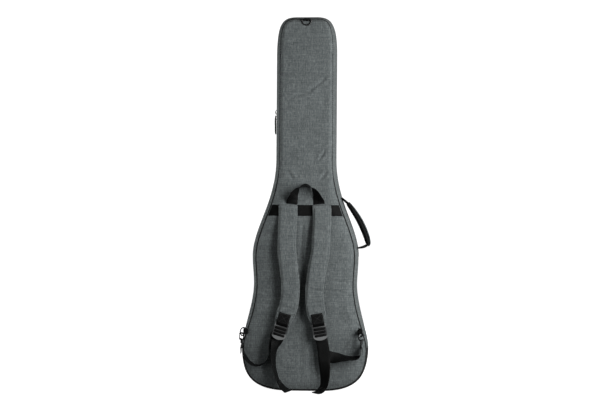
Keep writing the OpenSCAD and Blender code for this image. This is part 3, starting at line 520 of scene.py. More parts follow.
def heather(name, dark, middle, light):
    """Slubby two-tone plain weave: each thread has its own shade, and warp and weft take turns on top."""
    m = shader(name)
    uv, across, along = m.weave()
    warp, weft = m.noise(uv, 800, 70, 1, 2.5, 0.6), m.noise(uv, 62, 800, 1, 2.5, 0.6)
    slub_up, slub_across = m.noise(uv, 330, 120, 1, 2.0, 0.6), m.noise(uv, 70, 330, 1, 2.0, 0.6)
    streak_up, streak_across = m.noise(uv, 300, 16, 1, 1.0), m.noise(uv, 12, 300, 1, 1.0)
    cloud = m.noise(uv, 22, 22, 1, 3.0, 0.6)
    over = m.calc("MULTIPLY", m.wave(across, THREAD_PITCH), m.wave(along, THREAD_PITCH))
    yarn = m.add("Mix", {"Factor": m.span(over, 0.2, 0.8), "A": warp, "B": weft}, data_type="FLOAT").outputs[0]
    slub = m.total((slub_up, 0.25), (slub_across, 0.25), (streak_up, 0.25), (streak_across, 0.25))
    tone = m.total((yarn, 0.48), (slub, 0.44), (cloud, 0.08))
    height = m.total((over, 0.5), (slub, 1))
    return m.finish(m.ramp(tone, (0.33, dark), (0.5, middle), (0.67, light)), m.span(yarn, 0.78, 0.97),
                    Normal=m.bump(height, 0.35, 0.5), Sheen_Weight=0.12, Sheen_Roughness=0.55,
                    Specular_IOR_Level=0.25)


def webbing_material(name, dark, light, rough):
    """Woven webbing: a fine herringbone between raised edges."""
    m = shader(name)
    uv, across, along = m.weave()
    fold = m.calc("PINGPONG", across, CORD_PITCH * MM)
    ribs, cords = m.wave(m.calc("ADD", along, fold), RIB_PITCH), m.wave(across, CORD_PITCH)
    fuzz, worn = m.noise(uv, 500, 500, 1), m.noise(uv, 30, 18, 1, 3.0, 0.6)
    tone = m.total((ribs, 0.16), (fuzz, 0.4), (worn, 0.45))
    height = m.total((ribs, 1), (cords, 0.6))
    return m.finish(m.ramp(tone, (0.2, dark), (0.75, light)), m.span(worn, rough - 0.08, rough + 0.1),
                    Normal=m.bump(height, 0.4, 0.35), Specular_IOR_Level=0.13)


def grain_material(name, dark, light, rough, grain, strength, stretch=1.0, **sockets):
    """Moulded or cast surface: cloudy tone, fine grain and a roughness that varies."""
    m = shader(name)
    place = m.place()
    cloud = m.noise(place, 70, 70, 70 * stretch, 3.0, 0.6)
    fine = m.noise(place, grain, grain, grain * stretch, 2.0, 0.6)
    tone = m.total((cloud, 0.6), (fine, 0.4))
    return m.finish(m.ramp(tone, (0.32, dark), (0.68, light)), m.span(cloud, rough - 0.1, rough + 0.12),
                    Normal=m.bump(fine, strength, 0.25), **sockets)


def plastic_with_painted_highlights(name, dark, pale):
    """Satin plastic with painted highlights: paler at the lowest and the highest part of the piece."""
    m = shader(name)
    fine = m.noise(m.place(), 1800, 1800, 1800, 2.0, 0.6)
    height = m.add("SeparateXYZ", {0: m.add("TexCoord").outputs["Generated"]}).outputs["Z"]
    # Painted highlight: the colour turns paler towards the bottom and the top of the piece, by its height
    highlit_ends = m.total((height, 1), (fine, 0.06))
    return m.finish(m.ramp(highlit_ends, (0.27, pale), (0.37, dark), (0.8, dark), (0.9, pale)), 0.38,
                    Normal=m.bump(fine, 0.12, 0.25))


def cell_material(name, dark, light, cell, rough):
    """Spacer mesh: a net of small round cells."""
    m = shader(name)
    place = m.place()
    net = m.add("TexVoronoi", {"Vector": place, "Scale": 1 / (cell * MM)}, feature="DISTANCE_TO_EDGE")
    net = net.outputs["Distance"]
    wall = m.total((net, 1), (m.noise(place, 60, 60, 60, 3.0), 0.15))
    return m.finish(m.ramp(wall, (0.12, light), (0.4, dark)), rough,
                    Normal=m.bump(m.calc("MULTIPLY", net, -1.0), 0.8, 1.0), Sheen_Weight=0.1)


HEATHER = heather("heather_cloth", (0.026, 0.031, 0.032), (0.12, 0.136, 0.137), (0.31, 0.338, 0.339))
PIPING = heather("piping_cloth", (0.004, 0.0045, 0.0045), (0.009, 0.0098, 0.0098), (0.02, 0.0215, 0.0215))
WEBBING = webbing_material("black_webbing", (0.002, 0.0022, 0.0022), (0.006, 0.0065, 0.0065), 0.5)
TAPE = webbing_material("zip_tape_cloth", (0.003, 0.003, 0.0032), (0.009, 0.009, 0.0096), 0.75)
GUARD = grain_material("guard_rubber", (0.008, 0.0085, 0.009), (0.02, 0.021, 0.021), 0.55, 900, 0.5)
LINING = grain_material("plush_lining", (0.075, 0.082, 0.088), (0.16, 0.172, 0.18), 0.9, 1500, 0.9,
                        Sheen_Weight=0.35, Sheen_Roughness=0.4)
NET = cell_material("spacer_mesh", 0.005, (0.03, 0.031, 0.032), 2.6, 0.8)
# The locks' paler tongue and top rim are painted highlights
LOCK = plastic_with_painted_highlights("lock_plastic", (0.05, 0.052, 0.053), (0.19, 0.197, 0.199))
METAL = grain_material("nickel", (0.05, 0.052, 0.053), (0.135, 0.139, 0.141), 0.32, 700, 0.05, 0.3, Metallic=1.0)
BINDING = webbing_material("binding_cloth", (0.004, 0.0043, 0.0043), (0.013, 0.0138, 0.0138), 0.7)
BLACK_METAL = grain_material("black_steel", (0.012, 0.012, 0.013), (0.03, 0.03, 0.031), 0.36, 900, 0.08,
                             Specular_IOR_Level=0.6)
RUBBER = grain_material("pull_rubber", 0.004, 0.011, 0.6, 1400, 0.3, Specular_IOR_Level=0.25)
NYLON = grain_material("zip_teeth", 0.008, (0.024, 0.024, 0.025), 0.4, 900, 0.1)
THREAD = grain_material("grey_thread", (0.03, 0.032, 0.032), (0.07, 0.074, 0.074), 0.8, 2500, 0.3)
BLACK_THREAD = grain_material("black_thread", (0.02, 0.021, 0.021), (0.045, 0.047, 0.047), 0.6, 2500, 0.3)


# Shells
PANEL_COLUMNS, DENSE_COLUMNS, POCKET_COLUMNS = 73, 97, 61


def finer(points):
    """The same run of points, with one more between each two."""
    places = np.linspace(0, len(points) - 1, 2 * len(points) - 1)
    return at_places(places, np.arange(len(points)), points)


def spread(right, count):
    """Rows of places between a right edge and its mirror image, closer together near the edges."""
    t = np.linspace(-1, 1, count)
    share = np.sign(t) * (1 - (1 - np.abs(t)) ** 1.5)
    return right[:, :1] * share[None], np.repeat(right[:, 1:], count, 1)


def panel_grid(name, side, depth, edge=SEAM, dense=False):
    """A face of the bag, row by row from its lower edge to its upper edge, between the two sides of an outline.
    A dense one has room for narrow creases."""
    right = edge[I_FLAT:I_TOP + 1]
    x, z = spread(finer(right), DENSE_COLUMNS) if dense else spread(right, PANEL_COLUMNS)
    y = side * depth(x, z)
    return grid(name, np.stack([x, y, z], -1), uv=np.stack([x, z], -1) * MM, flip=side > 0)


def outward(index):
    n = INWARD[index % COUNT]
    return np.stack([-n[:, 0], 0 * index, -n[:, 1]], 1)


PIPING_SIDES, WALL_STEPS = 12, 18
WALL_SWELL = 0.7
TAPE_STEPS = np.array([0.3, 2, 6, TAPE_W])


def shell(side, body, prefix, face, seed, folds):
    """One half of the bag: panel, piping, side wall, base guard, zip and lining."""
    back = side < 0
    panel = panel_grid(face + "_panel_cover", side, lambda x, z: panel_depth(x, z, seed, folds), dense=bool(folds))
    thicken(panel, FABRIC_T)
    dress(panel, HEATHER, body, "heather", face + "_panel", face + "_foam")

    around = turns(PIPING_SIDES)
    rows = wall_rows(range(COUNT), 0.2 * PIPING_R + PIPING_R * np.cos(around), [SEAM_Y] * PIPING_SIDES)
    rows[..., 1] = side * (SEAM_Y + 0.2 * PIPING_R + PIPING_R * np.sin(around))
    cord = grid(face + "_piping_cord", rows, ring=True, tube=True, flip=back)
    dress(cord, PIPING, body, "piping", face + "_piping")

    inner = ZIP_Y + side * SKIN_GAP
    depths = np.linspace(inner, side * (SEAM_Y - 1.2), WALL_STEPS)
    sides = np.arange(I_LOWER, COUNT - I_LOWER + 1)
    rows = wall_rows(sides, np.zeros(WALL_STEPS), depths)
    arc = arc_lengths(rows[:, WALL_STEPS // 2])
    swell = WALL_SWELL * wobble(arc[:, None] + 0 * depths, depths + 0 * rows[..., 0], 70, 40, seed + 2)
    fade = smooth((np.abs(depths - inner)) / 10) * smooth((SEAM_Y - np.abs(depths)) / 12)
    rows[..., [0, 2]] -= (swell * fade)[..., None] * INWARD[sides % COUNT][:, None]
    wall = thicken(grid(prefix + "_side_wall", rows, flip=back), FABRIC_T)
    dress(wall, HEATHER, body, "heather", prefix + "_gusset", prefix + "_gusset_foam")

    under = np.arange(COUNT - I_LOWER, COUNT + I_LOWER + 1)
    guard = thicken(grid(prefix + "_guard_skin", wall_rows(under, np.zeros(WALL_STEPS), depths), flip=back), GUARD_T)
    dress(guard, GUARD, body, "guard", prefix + "_base_guard")

    def seam(index, lift, from_edge):
        return [(wall_rows(index, [-lift], [inner + side * from_edge])[:, 0], outward(index))]

    stitches(prefix + "_guard_stitches", seam(under, 0.25, 5.6), BLACK_THREAD, body, "webbing")
    stitches(prefix + "_wall_stitches", seam(sides, 0.15, 5.0), THREAD, body, "heather")

    zip_index = np.arange(I_UPPER, COUNT + I_LOWER + 1)
    tape = wall_rows(zip_index, [TAPE_IN] * len(TAPE_STEPS), ZIP_Y + side * TAPE_STEPS)
    dress(thicken(grid(prefix + "_zip_cloth", tape, flip=back), TAPE_T), TAPE, body, "zip", prefix + "_zip_tape")
    dress(zip_teeth(prefix + "_zip_teeth", zip_index, side), NYLON, body, "zip", prefix + "_zip_coil")
    around = np.radians(np.arange(0, 360, 36))
    edge_y = ZIP_Y + side * (SKIN_GAP + HALF_GAP + EDGE_R * np.sin(around))
    edge = wall_rows(zip_index, EDGE_R * (np.cos(around) - 0.6), edge_y)
    edge[..., 2] = np.maximum(edge[..., 2], 0.2)
    dress(grid(prefix + "_zip_edge", edge, tube=True, flip=back), PIPING, body, "piping")

    rim = [ZIP_Y + side * (HALF_GAP + y) for _, y in LINING_RIM]
    deep = list(np.linspace(rim[-1], side * (LINING_Y - LINING_CORNER), 8)[1:])
    turn = [side * (LINING_Y - up) for _, up in LINING_TURN]
    insets = [i for i, _ in LINING_RIM] + [LINING_INSET] * len(deep) + [i for i, _ in LINING_TURN]
    rows = wall_rows(range(COUNT), insets, rim + deep + turn, bowed=False)
    lining = grid(face + "_lining_wall", rows, ring=True, flip=not back)
    dress(lining, LINING, body, "lining", face + "_lining")
    floor = panel_grid(face + "_lining_floor", side,
                       lambda x, z: LINING_Y - 0.8 + 0.35 * wobble(x, z, 60, 80, seed + 3),
                       loop_inside(LINING_FLOOR_INSET))
    floor.data.flip_normals()
    dress(floor, LINING, body, "lining")


# A zip tooth: rings of [reach over the zip's middle, half length, rise], each with these corners of [along, out]
TOOTH_RINGS = ((-0.7, 0.5, 0.45), (0.9, 0.62, 0.75), (2.1, 0.55, 0.5))
TOOTH_CORNERS = ((-1, 0), (-0.6, 1), (0.6, 1), (1, 0), (0.5, -0.6), (-0.5, -0.6))


def zip_teeth(name, index, side):
    """One half of the zip's teeth, which mesh with the other half's."""
    line = wall_rows(index, [TAPE_IN - 0.7], [ZIP_Y])[:, 0]
    arc = arc_lengths(line)
    at = np.arange(3, arc[-1] - 3, TOOTH_PITCH) + (0.5 * TOOTH_PITCH if side > 0 else 0)
    p, n = at_places(at, arc, line), unit(at_places(at, arc, INWARD[index % COUNT]))
    out = np.stack([-n[:, 0], 0 * at, -n[:, 1]], 1)
    along = np.cross(out, DEEP)
    points = [p + a * half * along + (b * rise) * out + side * reach * DEEP
              for reach, half, rise in TOOTH_RINGS for a, b in TOOTH_CORNERS]
    corners, size = len(TOOTH_CORNERS), len(points)
    caps = repeated([range(corners - 1, -1, -1), range(size - corners, size)], size, len(at))
    return mesh_object(name, np.stack(points, 1), tube_faces(len(TOOTH_RINGS), corners, len(at)) + caps)


shell(-1, "back_shell", "rear", "back", 1.0, BACK_FOLDS)
shell(1, "lid", "front", "front", 9.0, [])

# Fabric spine between the two halves, where the lid folds
spine_y = np.linspace(ZIP_Y - TAPE_W, ZIP_Y + TAPE_W, 9)
spine_rows = wall_rows(range(I_LOWER, I_UPPER + 1), [TAPE_IN] * len(spine_y), spine_y)
spine = thicken(grid("spine_fold", spine_rows), TAPE_T)
dress(spine, TAPE, None, "zip", "spine_strip")
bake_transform(spine)

# Band across the back that carries the shoulder pads and the grab loop
BAND_EDGE, BAND_LIFT, STITCH_LIFT = 4.5, 2.0, 2.1


def seam_x(z):
    right = SEAM[I_FLAT:I_TOP + 1]
    return np.interp(z, right[:, 1], right[:, 0])


band_z = np.linspace(BAND_Z, BAND_TOP, 9)
band_share = np.sin(np.linspace(-pi / 2, pi / 2, 81))
band_x = (seam_x(band_z) - BAND_EDGE)[None] * band_share[:, None]
band_zz = np.repeat(band_z[None], len(band_share), 0)
band_y = -(panel_depth(band_x, band_zz) + BAND_LIFT)
band = thicken(grid("band_webbing", np.stack([band_x, band_y, band_zz], -1), flip=True), WEBBING_T)
dress(band, WEBBING, "back_shell", "webbing", "shoulder_band")


def band_stitch(z):
    x = np.linspace(-1, 1, 90) * (seam_x(z) - 6)
    z = np.full(len(x), z)
    return np.stack([x, -(panel_depth(x, z) + STITCH_LIFT), z], 1), -DEEP


stitches("band_stitches", [band_stitch(BAND_Z + 3), band_stitch(BAND_TOP - 3)], BLACK_THREAD, "back_shell", "webbing")

# Shoulder pads: rows are [across, out from the back panel, down from the top of the band]
PADS = {
    "left": [[-57, 0.3, -2], [-58, 1.4, 38], [-60, 12, 100], [-60, 20, 150], [-51, 22, 225], [-47, 21, 280],
             [-51, 20, 328], [-61, 19, 362], [-72, 18, 390]],
    "right": [[55, 0.3, -2], [55, 1.3, 38], [54, 11, 100], [52, 19, 150], [39, 21, 225], [33, 20, 280],
              [34, 19, 328], [39, 18, 362], [46, 17, 390]],
}
TURNS = {"left": 17, "right": -10}
# Creases across a pad: [share of its length, width, depth]
PAD_CREASES = {"left": [[0.27, 8, 1.3], [0.62, 8, 1.4], [0.8, 3.4, 1.8], [0.88, 3.6, 2.3]],
               "right": [[0.33, 9, 1.0], [0.63, 3.4, 2.4], [0.69, 3.2, 2.2], [0.74, 3.4, 2.7], [0.9, 4, 2.0]]}
PAD_SEEDS = {"left": 3.3, "right": 6.1}
PAD_VOXEL, PAD_PRESSURE, PAD_CAP = 4.0, 3.0, 2.6
PAD_HEM, PAD_HEM_W, PAD_HEM_DEPTH = 6, 1.7, 1.5
PAD_L = 400
CLOTH_STEPS = 18


def pad_rows(side):
    return [[[x, -(PANEL_Y + PAD_SEAT + out), BAND_TOP - down], ACROSS] for x, out, down in PADS[side]]


def remesh(obj, voxel):
    made = obj.modifiers.new("even", "REMESH")
    made.mode, made.voxel_size = "VOXEL", voxel * MM


def inflate(obj, voxel, pressure, cap):
    """Remeshes a closed piece evenly, rounds it by at most cap with cloth pressure, and subdivides it."""
    remesh(obj, voxel)
    apply_modifiers(obj)
    rest = read_points(obj)
    cloth = obj.modifiers.new("cloth", "CLOTH").settings
    cloth.use_pressure, cloth.uniform_pressure_force = True, pressure
    cloth.effector_weights.gravity = 0
    cloth.quality = 6
    scene = bpy.context.scene
    for step in range(CLOTH_STEPS):
        scene.frame_set(step + 1)
    swollen = read_points(obj.evaluated_get(bpy.context.evaluated_depsgraph_get()))
    move = swollen - rest
    far = np.linalg.norm(move, axis=1, keepdims=True)
    rest = rest + move * np.minimum(1, cap * MM / np.maximum(far, 1e-9))
    obj.modifiers.clear()
    scene.frame_set(1)
    write_points(obj, rest)
    finer_mesh = obj.modifiers.new("smooth", "SUBSURF")
    finer_mesh.levels = finer_mesh.render_levels = 1
    apply_modifiers(obj)
    obj.data.shade_smooth()


def read_points(obj):
    flat = np.empty(3 * len(obj.data.vertices), np.float32)
    obj.data.vertices.foreach_get("co", flat)
    return flat.reshape(-1, 3).astype(float)


def write_points(obj, points):
    obj.data.vertices.foreach_set("co", points.astype(np.float32).ravel())
    obj.data.update()


def flat_weave(obj):
    """The weave map of a piece that faces the back: across and up, in metres."""
    points = read_points(obj)
    loops = np.empty(len(obj.data.loops), np.int32)
    obj.data.loops.foreach_get("vertex_index", loops)
    layer = obj.data.uv_layers.get("weave") or obj.data.uv_layers.new(name="weave")
    layer.data.foreach_set("uv", points[loops][:, [0, 2]].astype(np.float32).ravel())


def pad_half(share):
    """Half width of a pad: full to the sewn end, then drawn in round the patch."""
    return PAD_W / 2 * (1 - 0.24 * smooth((share - 0.86) / 0.14) - 0.05 * smooth((0.12 - share) / 0.12))


def shoulder_pad(side):
    rows = sampled(pad_rows(side), 8)
    share = np.linspace(0, 1, len(rows))
    core = [soft_section(2 * pad_half(s) + 3.5, -PAD_T / 2 + 1.2, PAD_T / 2 - 1.6, 20, 7) for s in share]
    pad = ribbon(side + "_pad_cover", rows, core)
    inflate(pad, PAD_VOXEL, PAD_PRESSURE, PAD_CAP)
    p, w, o = frames(rows)
    tree = search_tree(p * MM)
    points = read_points(pad) / MM
    near = np.array([tree.find(q * MM)[1] for q in points])
    rel = points - p[near]
    across, out = (rel * w[near]).sum(1), (rel * o[near]).sum(1)
    along = share[near] + (rel * np.cross(w[near], o[near])).sum(1) / PAD_L
    front = smooth((out + 1.0) / 2.5)
    hem = np.exp(-((np.abs(across) - pad_half(along) + PAD_HEM) / PAD_HEM_W) ** 2)
    press = PAD_HEM_DEPTH * hem * (1 + 0.25 * np.sin(along * PAD_L / 1.6))
    for place, width, depth in PAD_CREASES[side]:
        run = (along - place) * PAD_L + 0.18 * across * sin(9 * place)
        press = press + depth * np.exp(-(run / width) ** 2) * (0.55 + 0.45 * np.cos(across / 17 + 7 * place))
    press = press - 0.6 * wobble(across, along * PAD_L, 22, 34, PAD_SEEDS[side])
    write_points(pad, (points - (press * front)[:, None] * o[near]) * MM)
    flat_weave(pad)
    dress(pad, HEATHER, side + "_strap", "heather", side + "_pad", side + "_mesh")
    pad.data.materials.append(NET)
    normals = np.empty(3 * len(pad.data.polygons), np.float32)
    pad.data.polygons.foreach_get("normal", normals)
    behind = (normals.reshape(-1, 3)[:, 1] > 0.75).astype(np.int32)
    pad.data.polygons.foreach_set("material_index", behind)
    runs = [(p + (edge * (pad_half(share) - PAD_HEM))[:, None] * w + (PAD_T / 2 - 0.55) * o, o) for edge in (-1, 1)]
    stitches(side + "_pad_stitches", runs, THREAD, side + "_strap", "heather")


for side in PADS:
    shoulder_pad(side)


# Locks and webbing


def turn_y(angle, p):
    c, s = cos(radians(angle)), sin(radians(angle))
    return np.array([p[0] * c + p[2] * s, p[1], -p[0] * s + p[2] * c])


def lock_point(side, down, out, across=0):
    return np.array(pad_rows(side)[-1][0]) + turn_y(TURNS[side], [across, -out, -down - LOCK_DROP])


def lock_rows(side, path):
    """Control rows through places of [down, out] in the lock's frame."""
    return [[lock_point(side, *place), turn_y(TURNS[side], ACROSS)] for place in path]


def strap(name, rows, body, *nodes, w=WEBBING_W, t=WEBBING_T):
    return dress(ribbon(name, rows, webbing_section(w, t)), WEBBING, body, "webbing", *nodes)


PATCH_L = 40
LOOP_R = LOCK_BAR_R + 0.5 + WEBBING_T / 2


def patch(side):
    """Webbing sewn on the end of a pad and looped round the lock's bar."""
    out = PAD_T / 2 + CLEAR + WEBBING_T / 2
    path = [[-PATCH_L, out + 1.4], [-PATCH_L / 2, out + 0.7], [-6, out + 0.2], [-2.2, 5.6]]
    path += [[LOOP_R * cos(b), LOOP_R * sin(b)] for b in np.radians(np.arange(65, -136, -25))]
    path += [[-4.6, -2.6], [-5.6, -2.6]]
    strap(side + "_patch_webbing", sampled(lock_rows(side, path), 4), side + "_strap", side + "_patch")
    top, low, half = -PATCH_L + 3, -9, 16
    box = [(top, -half), (top, half), (low, half), (low, -half), (top, -half), (low, half)]
    runs = [(np.array([lock_point(side, d, out + 0.8 + 0.035 * -d, a) for d, a in line]), -DEEP)
            for line in (box, [(top, half), (low, -half)])]
    stitches(side + "_patch_stitches", runs, BLACK_THREAD, side + "_strap", "webbing", 0.5, pitch=3.6)


# Webbing: the wrap round the lock's bars as [down, out], then rows of a point and a width direction for the free tails
# and for the slack runs from the hooks to the locks
WRAP = [[10, -6.2], [6.4, -2.6], [7.2, 2], [10.4, 4.1], [13, 4.5], [15.8, 4.1], [18.8, 2], [19.8, -2], [23, -4.4],
        [32, -4.6], [44, -4.4]]
TAILS = {
    "left": [
        [-98.5, -86.5, 150, 0.62, 0.78, 0], [-103, -84.5, 124, 0.44, 0.9, 0], [-102.5, -84, 102, 0.34, 0.94, 0],
        [-98.5, -84.5, 78, 0.22, 0.97, 0.04], [-88, -86.5, 43, 0.18, 0.98, 0.06], [-72, -92, 18, 0.24, 0.95, 0.12],
        [-53, -102, 4, 0.32, 0.92, 0.15],
    ],
    "right": [
        [64, -84, 145, 1, 0, 0], [66, -83, 112, 1, 0, 0], [69, -84, 80, 0.95, -0.3, 0],
        [69.5, -88, 46, 0.76, -0.64, 0], [65, -96, 22, 0.64, -0.76, 0], [53, -108, 6, 0.6, -0.79, 0],
        [38, -120, 3, 0.58, -0.81, 0],
    ],
}
RUNS = {
    "left": [
        [-203, -86, 134, 0, 1, 0], [-195, -85.5, 114, 0.15, 0.98, 0.1], [-180, -85, 97, 0.06, 0.99, 0.08],
        [-156, -84.5, 88, 0, 1, 0], [-131, -84, 98, 0, 1, 0], [-118, -83, 122, 0, 1, 0],
        [-116.5, -82.5, 150, 0.12, 0.99, 0], [-109, -79.5, 169, 0.45, 0.89, -0.05], [-95, -74, 188, 0.93, 0.2, -0.3],
    ],
    "right": [
        [186, -86, 126, 0, -1, 0], [174, -85, 117, 0, -0.98, -0.2], [150, -82, 115, 0, -0.97, -0.24],
        [127, -79, 115, 0, -0.88, -0.48], [109, -76, 115.5, 0, -0.62, -0.78], [90, -73, 117, -0.05, -0.25, -0.96],
        [70, -74.5, 125.5, -0.68, 0, -0.73], [62, -77, 146, -1, 0, -0.1], [60, -79.5, 168, -0.98, 0, -0.17],
    ],
}


def run_rows(numbers):
    return list(np.reshape(numbers, (-1, 2, 3)))


def tail(side):
    """Free end of the adjusting webbing, with its hem folded back."""
    rows = sampled(lock_rows(side, WRAP) + run_rows(TAILS[side]), 6)
    strap(side + "_tail_webbing", rows, side + "_lock", side + "_tail")
    p, w, o = frames(rows)
    hem = np.stack([p + (WEBBING_T + 0.05) * o - 0.8 * w, w], 1)[-12:]
    strap(side + "_tail_hem", hem, side + "_lock", w=WEBBING_W - 0.6)
    runs = [(np.stack([p[k] + a * w[k] + (1.6 * WEBBING_T) * o[k] for a in np.linspace(-16, 16, 9)]), o[k])
            for k in (-11, -10)]
    stitches(side + "_hem_stitches", runs, BLACK_THREAD, side + "_lock", "webbing", pitch=3.4)


LOCK_SLOTS = [[9.1, 14.9], [20.1, 25.9], [31.1, 36.5]]
LOCK_FACE = 8.2


def slot_webbing(side):
    """Webbing that swells out of the lock's slots between its bars."""
    for k, (top, low) in enumerate(LOCK_SLOTS):
        path = [[top - 1.1, LOCK_FACE - 0.3], [top + 0.6, LOCK_FACE + 0.4], [(top + low) / 2, LOCK_FACE + 0.5],
                [low - 0.6, LOCK_FACE + 0.4], [low + 1.1, LOCK_FACE - 0.3]]
        rows = sampled(lock_rows(side, path), 4)
        strap("%s_slot_webbing_%d" % (side, k), rows, side + "_lock", w=WEBBING_W - 1)


for side in PADS:
    slot_webbing(side)


EYE_WIRE_R = 2.0


def lower_webbing(side):
    """Slack webbing from the hook's eye to the back of the lock."""
    turn = HAND[side]
    low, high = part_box(side + "_eye")
    x, y, _ = np.array((low + high) / 2) / MM
    bar_z, r = low.z / MM + EYE_WIRE_R, EYE_WIRE_R + CLEAR + WEBBING_T / 2
    start = [[[x + turn * r * (0.5 + z / 60), y, bar_z - z], -turn * DEEP] for z in (20, 10)]
    start += [[[x + turn * r * cos(b), y, bar_z + r * sin(b)], -turn * DEEP]
              for b in np.radians(np.arange(0, 181, 30))]
    end = [[point, -turn * across] for point, across in lock_rows(side, [[24, -9.6], [12.2, -7.2]])]
    rows = sampled(start + run_rows(RUNS[side]) + end, 6)
    made = strap(side + "_lower_webbing", rows, None, side + "_webbing")
    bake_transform(made)


def pad_flap(side):
    """The pad's thin backing, which runs on behind the lock and narrows there."""
    path = [[-26, -6, 60], [-14, -8.5, 57], [-4, -10.5, 54], [6, -12, 50.5], [13, -13, 46], [17, -13.5, 40]]
    rows = sampled(lock_rows(side, [place[:2] for place in path]), 5)
    widths = sampled([[[w, 0, 0], [0, 0, 0]] for _, _, w in path], 5)[:, 0, 0]
    made = ribbon(side + "_pad_flap", rows, [soft_section(w, -1.6, 1.6, 20, 3.5) for w in widths])
    flat_weave(made)
    dress(made, HEATHER, side + "_strap", "heather")


for side in PADS:
    patch(side)
    pad_flap(side)
    tail(side)
    lower_webbing(side)

# Grab loop above the band: rows are [across, out, share of its height, and its width direction across, deep and up]
LOOP_RUN = [[45.5, 0.35, 0.02, 0.96, 0, 0], [43.8, 5, 0.2, 0.88, 0.22, 0.02], [39, 15, 0.42, 0.72, 0.7, 0.05],
            [31.5, 18.5, 0.63, 0.55, 0.82, 0.11], [20.5, 21, 0.81, 0.35, 0.9, 0.22], [0, 22, 0.91, 0, 0.94, 0.3]]
LOOP_H = 70
LOOP_SEAT = CLEAR + WEBBING_T / 2 + 0.1


def loop_row(r, s):
    x, out, up, wide, deep, rise = r
    return [[s * x, -(PANEL_Y + LOOP_SEAT + out), BAND_TOP + 2 + up * LOOP_H], [-s * wide, deep, rise]]


loop_rows = [loop_row(r, -1) for r in LOOP_RUN] + [loop_row(r, 1) for r in LOOP_RUN[-2::-1]]
strap("grab_loop_webbing", sampled(loop_rows, 8), "grab_loop", "grab_loop")

# Carry handle on the right side wall: rows are [share of the span, distance out, share of the lean]
HANDLE_TOP_Z, HANDLE_LOW_Z, HANDLE_Y = 651, 481, -25
HANDLE_LEAN, HANDLE_WEBBING_W = 13, 26
GRIP_START, GRIP_END, LEG_END = 14, 59, 30
HANDLE_RUN = [[0, 3.8, 0.3], [0.075, 10.5, 1], [0.16, 19, 1], [0.335, 29.5, 1], [0.53, 38, 1], [0.735, 42.5, 1],
              [0.9, 43, 1], [0.985, 39.5, 1], [1.01, 24.5, 1], [1, 3.8, 0.3]]


def side_point(z):
    k = I_FLAT + int(np.argmin(np.abs(LOOP[I_FLAT:I_TOP, 1] - z)))
    p = LOOP[k] + bow(z, HANDLE_Y) * INWARD[k]
    return np.array([p[0], HANDLE_Y, p[1]])


anchor_top, anchor_low = side_point(HANDLE_TOP_Z), side_point(HANDLE_LOW_Z)
drop = anchor_low - anchor_top
handle_out = np.cross(unit(drop), DEEP)
handle_line = np.array([anchor_top + along * drop + out * handle_out for along, out, _ in HANDLE_RUN])
handle_normals = unit(np.cross(unit(np.gradient(handle_line, axis=0)), DEEP))
handle_turns = np.radians([[HANDLE_LEAN * lean] for _, _, lean in HANDLE_RUN])
handle_widths = np.cos(handle_turns) * DEEP - np.sin(handle_turns) * handle_normals
handle_rows = sampled(np.stack([handle_line, handle_widths], 1), 8)
grip_rows = handle_rows[GRIP_START:GRIP_END]
swell = np.sin(np.linspace(0.12, pi - 0.2, len(grip_rows))) ** 0.6


def grip_sections(width, low, high, power):
    return [soft_section(width * (0.72 + 0.28 * k), low * (0.3 + 0.7 * k), high * (0.4 + 0.6 * k), 24, power)
            for k in swell]


for name, rows in (("upper", handle_rows[:LEG_END]), ("lower", handle_rows[:-LEG_END - 1:-1])):
    leg = strap("handle_webbing_" + name, rows, None, "handle_strap", w=HANDLE_WEBBING_W, t=2 * WEBBING_T)
    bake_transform(leg)
grip = ribbon("handle_grip_cover", grip_rows, grip_sections(39, 1.9, 8.2, 2.6))
dress(grip, HEATHER, "handle", "heather", "handle_grip")
liner = ribbon("handle_grip_liner", grip_rows, grip_sections(36.5, -9.0, 1.8, 3.4))
dress(liner, BINDING, "handle", "webbing", "handle_liner")

# Tabs that hold the rings. The side ones lie flat, from a foot along a direction
BORE_R = 2.5
HOOP_R = BORE_R + WEBBING_T / 2
TAB_FOOT, TAB_AIM, TAB_L, TAB_W = (190.98, -56.16), unit([-0.45, -0.893]), 22, 18
TOP_BAR_Y, TOP_BAR_Z, TOP_TAB_W = -64.4, 1245.0, 24


def ring_tab(side):
    low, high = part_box(side + "_ring_tab")
    start = np.array([HAND[side] * TAB_FOOT[0], TAB_FOOT[1]])
    aim, normal = TAB_AIM, np.array([-TAB_AIM[1], TAB_AIM[0]])
    end = start + TAB_L * aim
    path = [start - 1.1 * normal, start + 8 * aim - 1.4 * normal, end - 6 * aim - 2.2 * normal]
    path += [end + HOOP_R * (cos(b) * aim + sin(b) * normal) for b in np.radians(np.arange(-120, 121, 24))]
    path += [end - 6 * aim + 2.2 * normal, start + 8 * aim + 1.4 * normal, start + 1.1 * normal]
    middle = (low.z + high.z) / 2 / MM
    rows = sampled([[[x, y, middle], UP] for x, y in path], 3)
    strap(side + "_tab_webbing", rows, "back_shell", side + "_ring_tab", w=TAB_W)


for side in PADS:
    ring_tab(side)
top_path = [[-55.4, TOP_BAR_Z + HOOP_R - 0.4], [-60, TOP_BAR_Z + HOOP_R + 0.2]]
top_path += [[TOP_BAR_Y - HOOP_R * sin(b), TOP_BAR_Z + HOOP_R * cos(b)]
             for b in np.radians(np.arange(0, 271, 27))]
top_rows = sampled([[[0, y, z], ACROSS] for y, z in top_path], 3)
strap("top_tab_webbing", top_rows, "back_shell", "top_ring_tab", w=TOP_TAB_W)

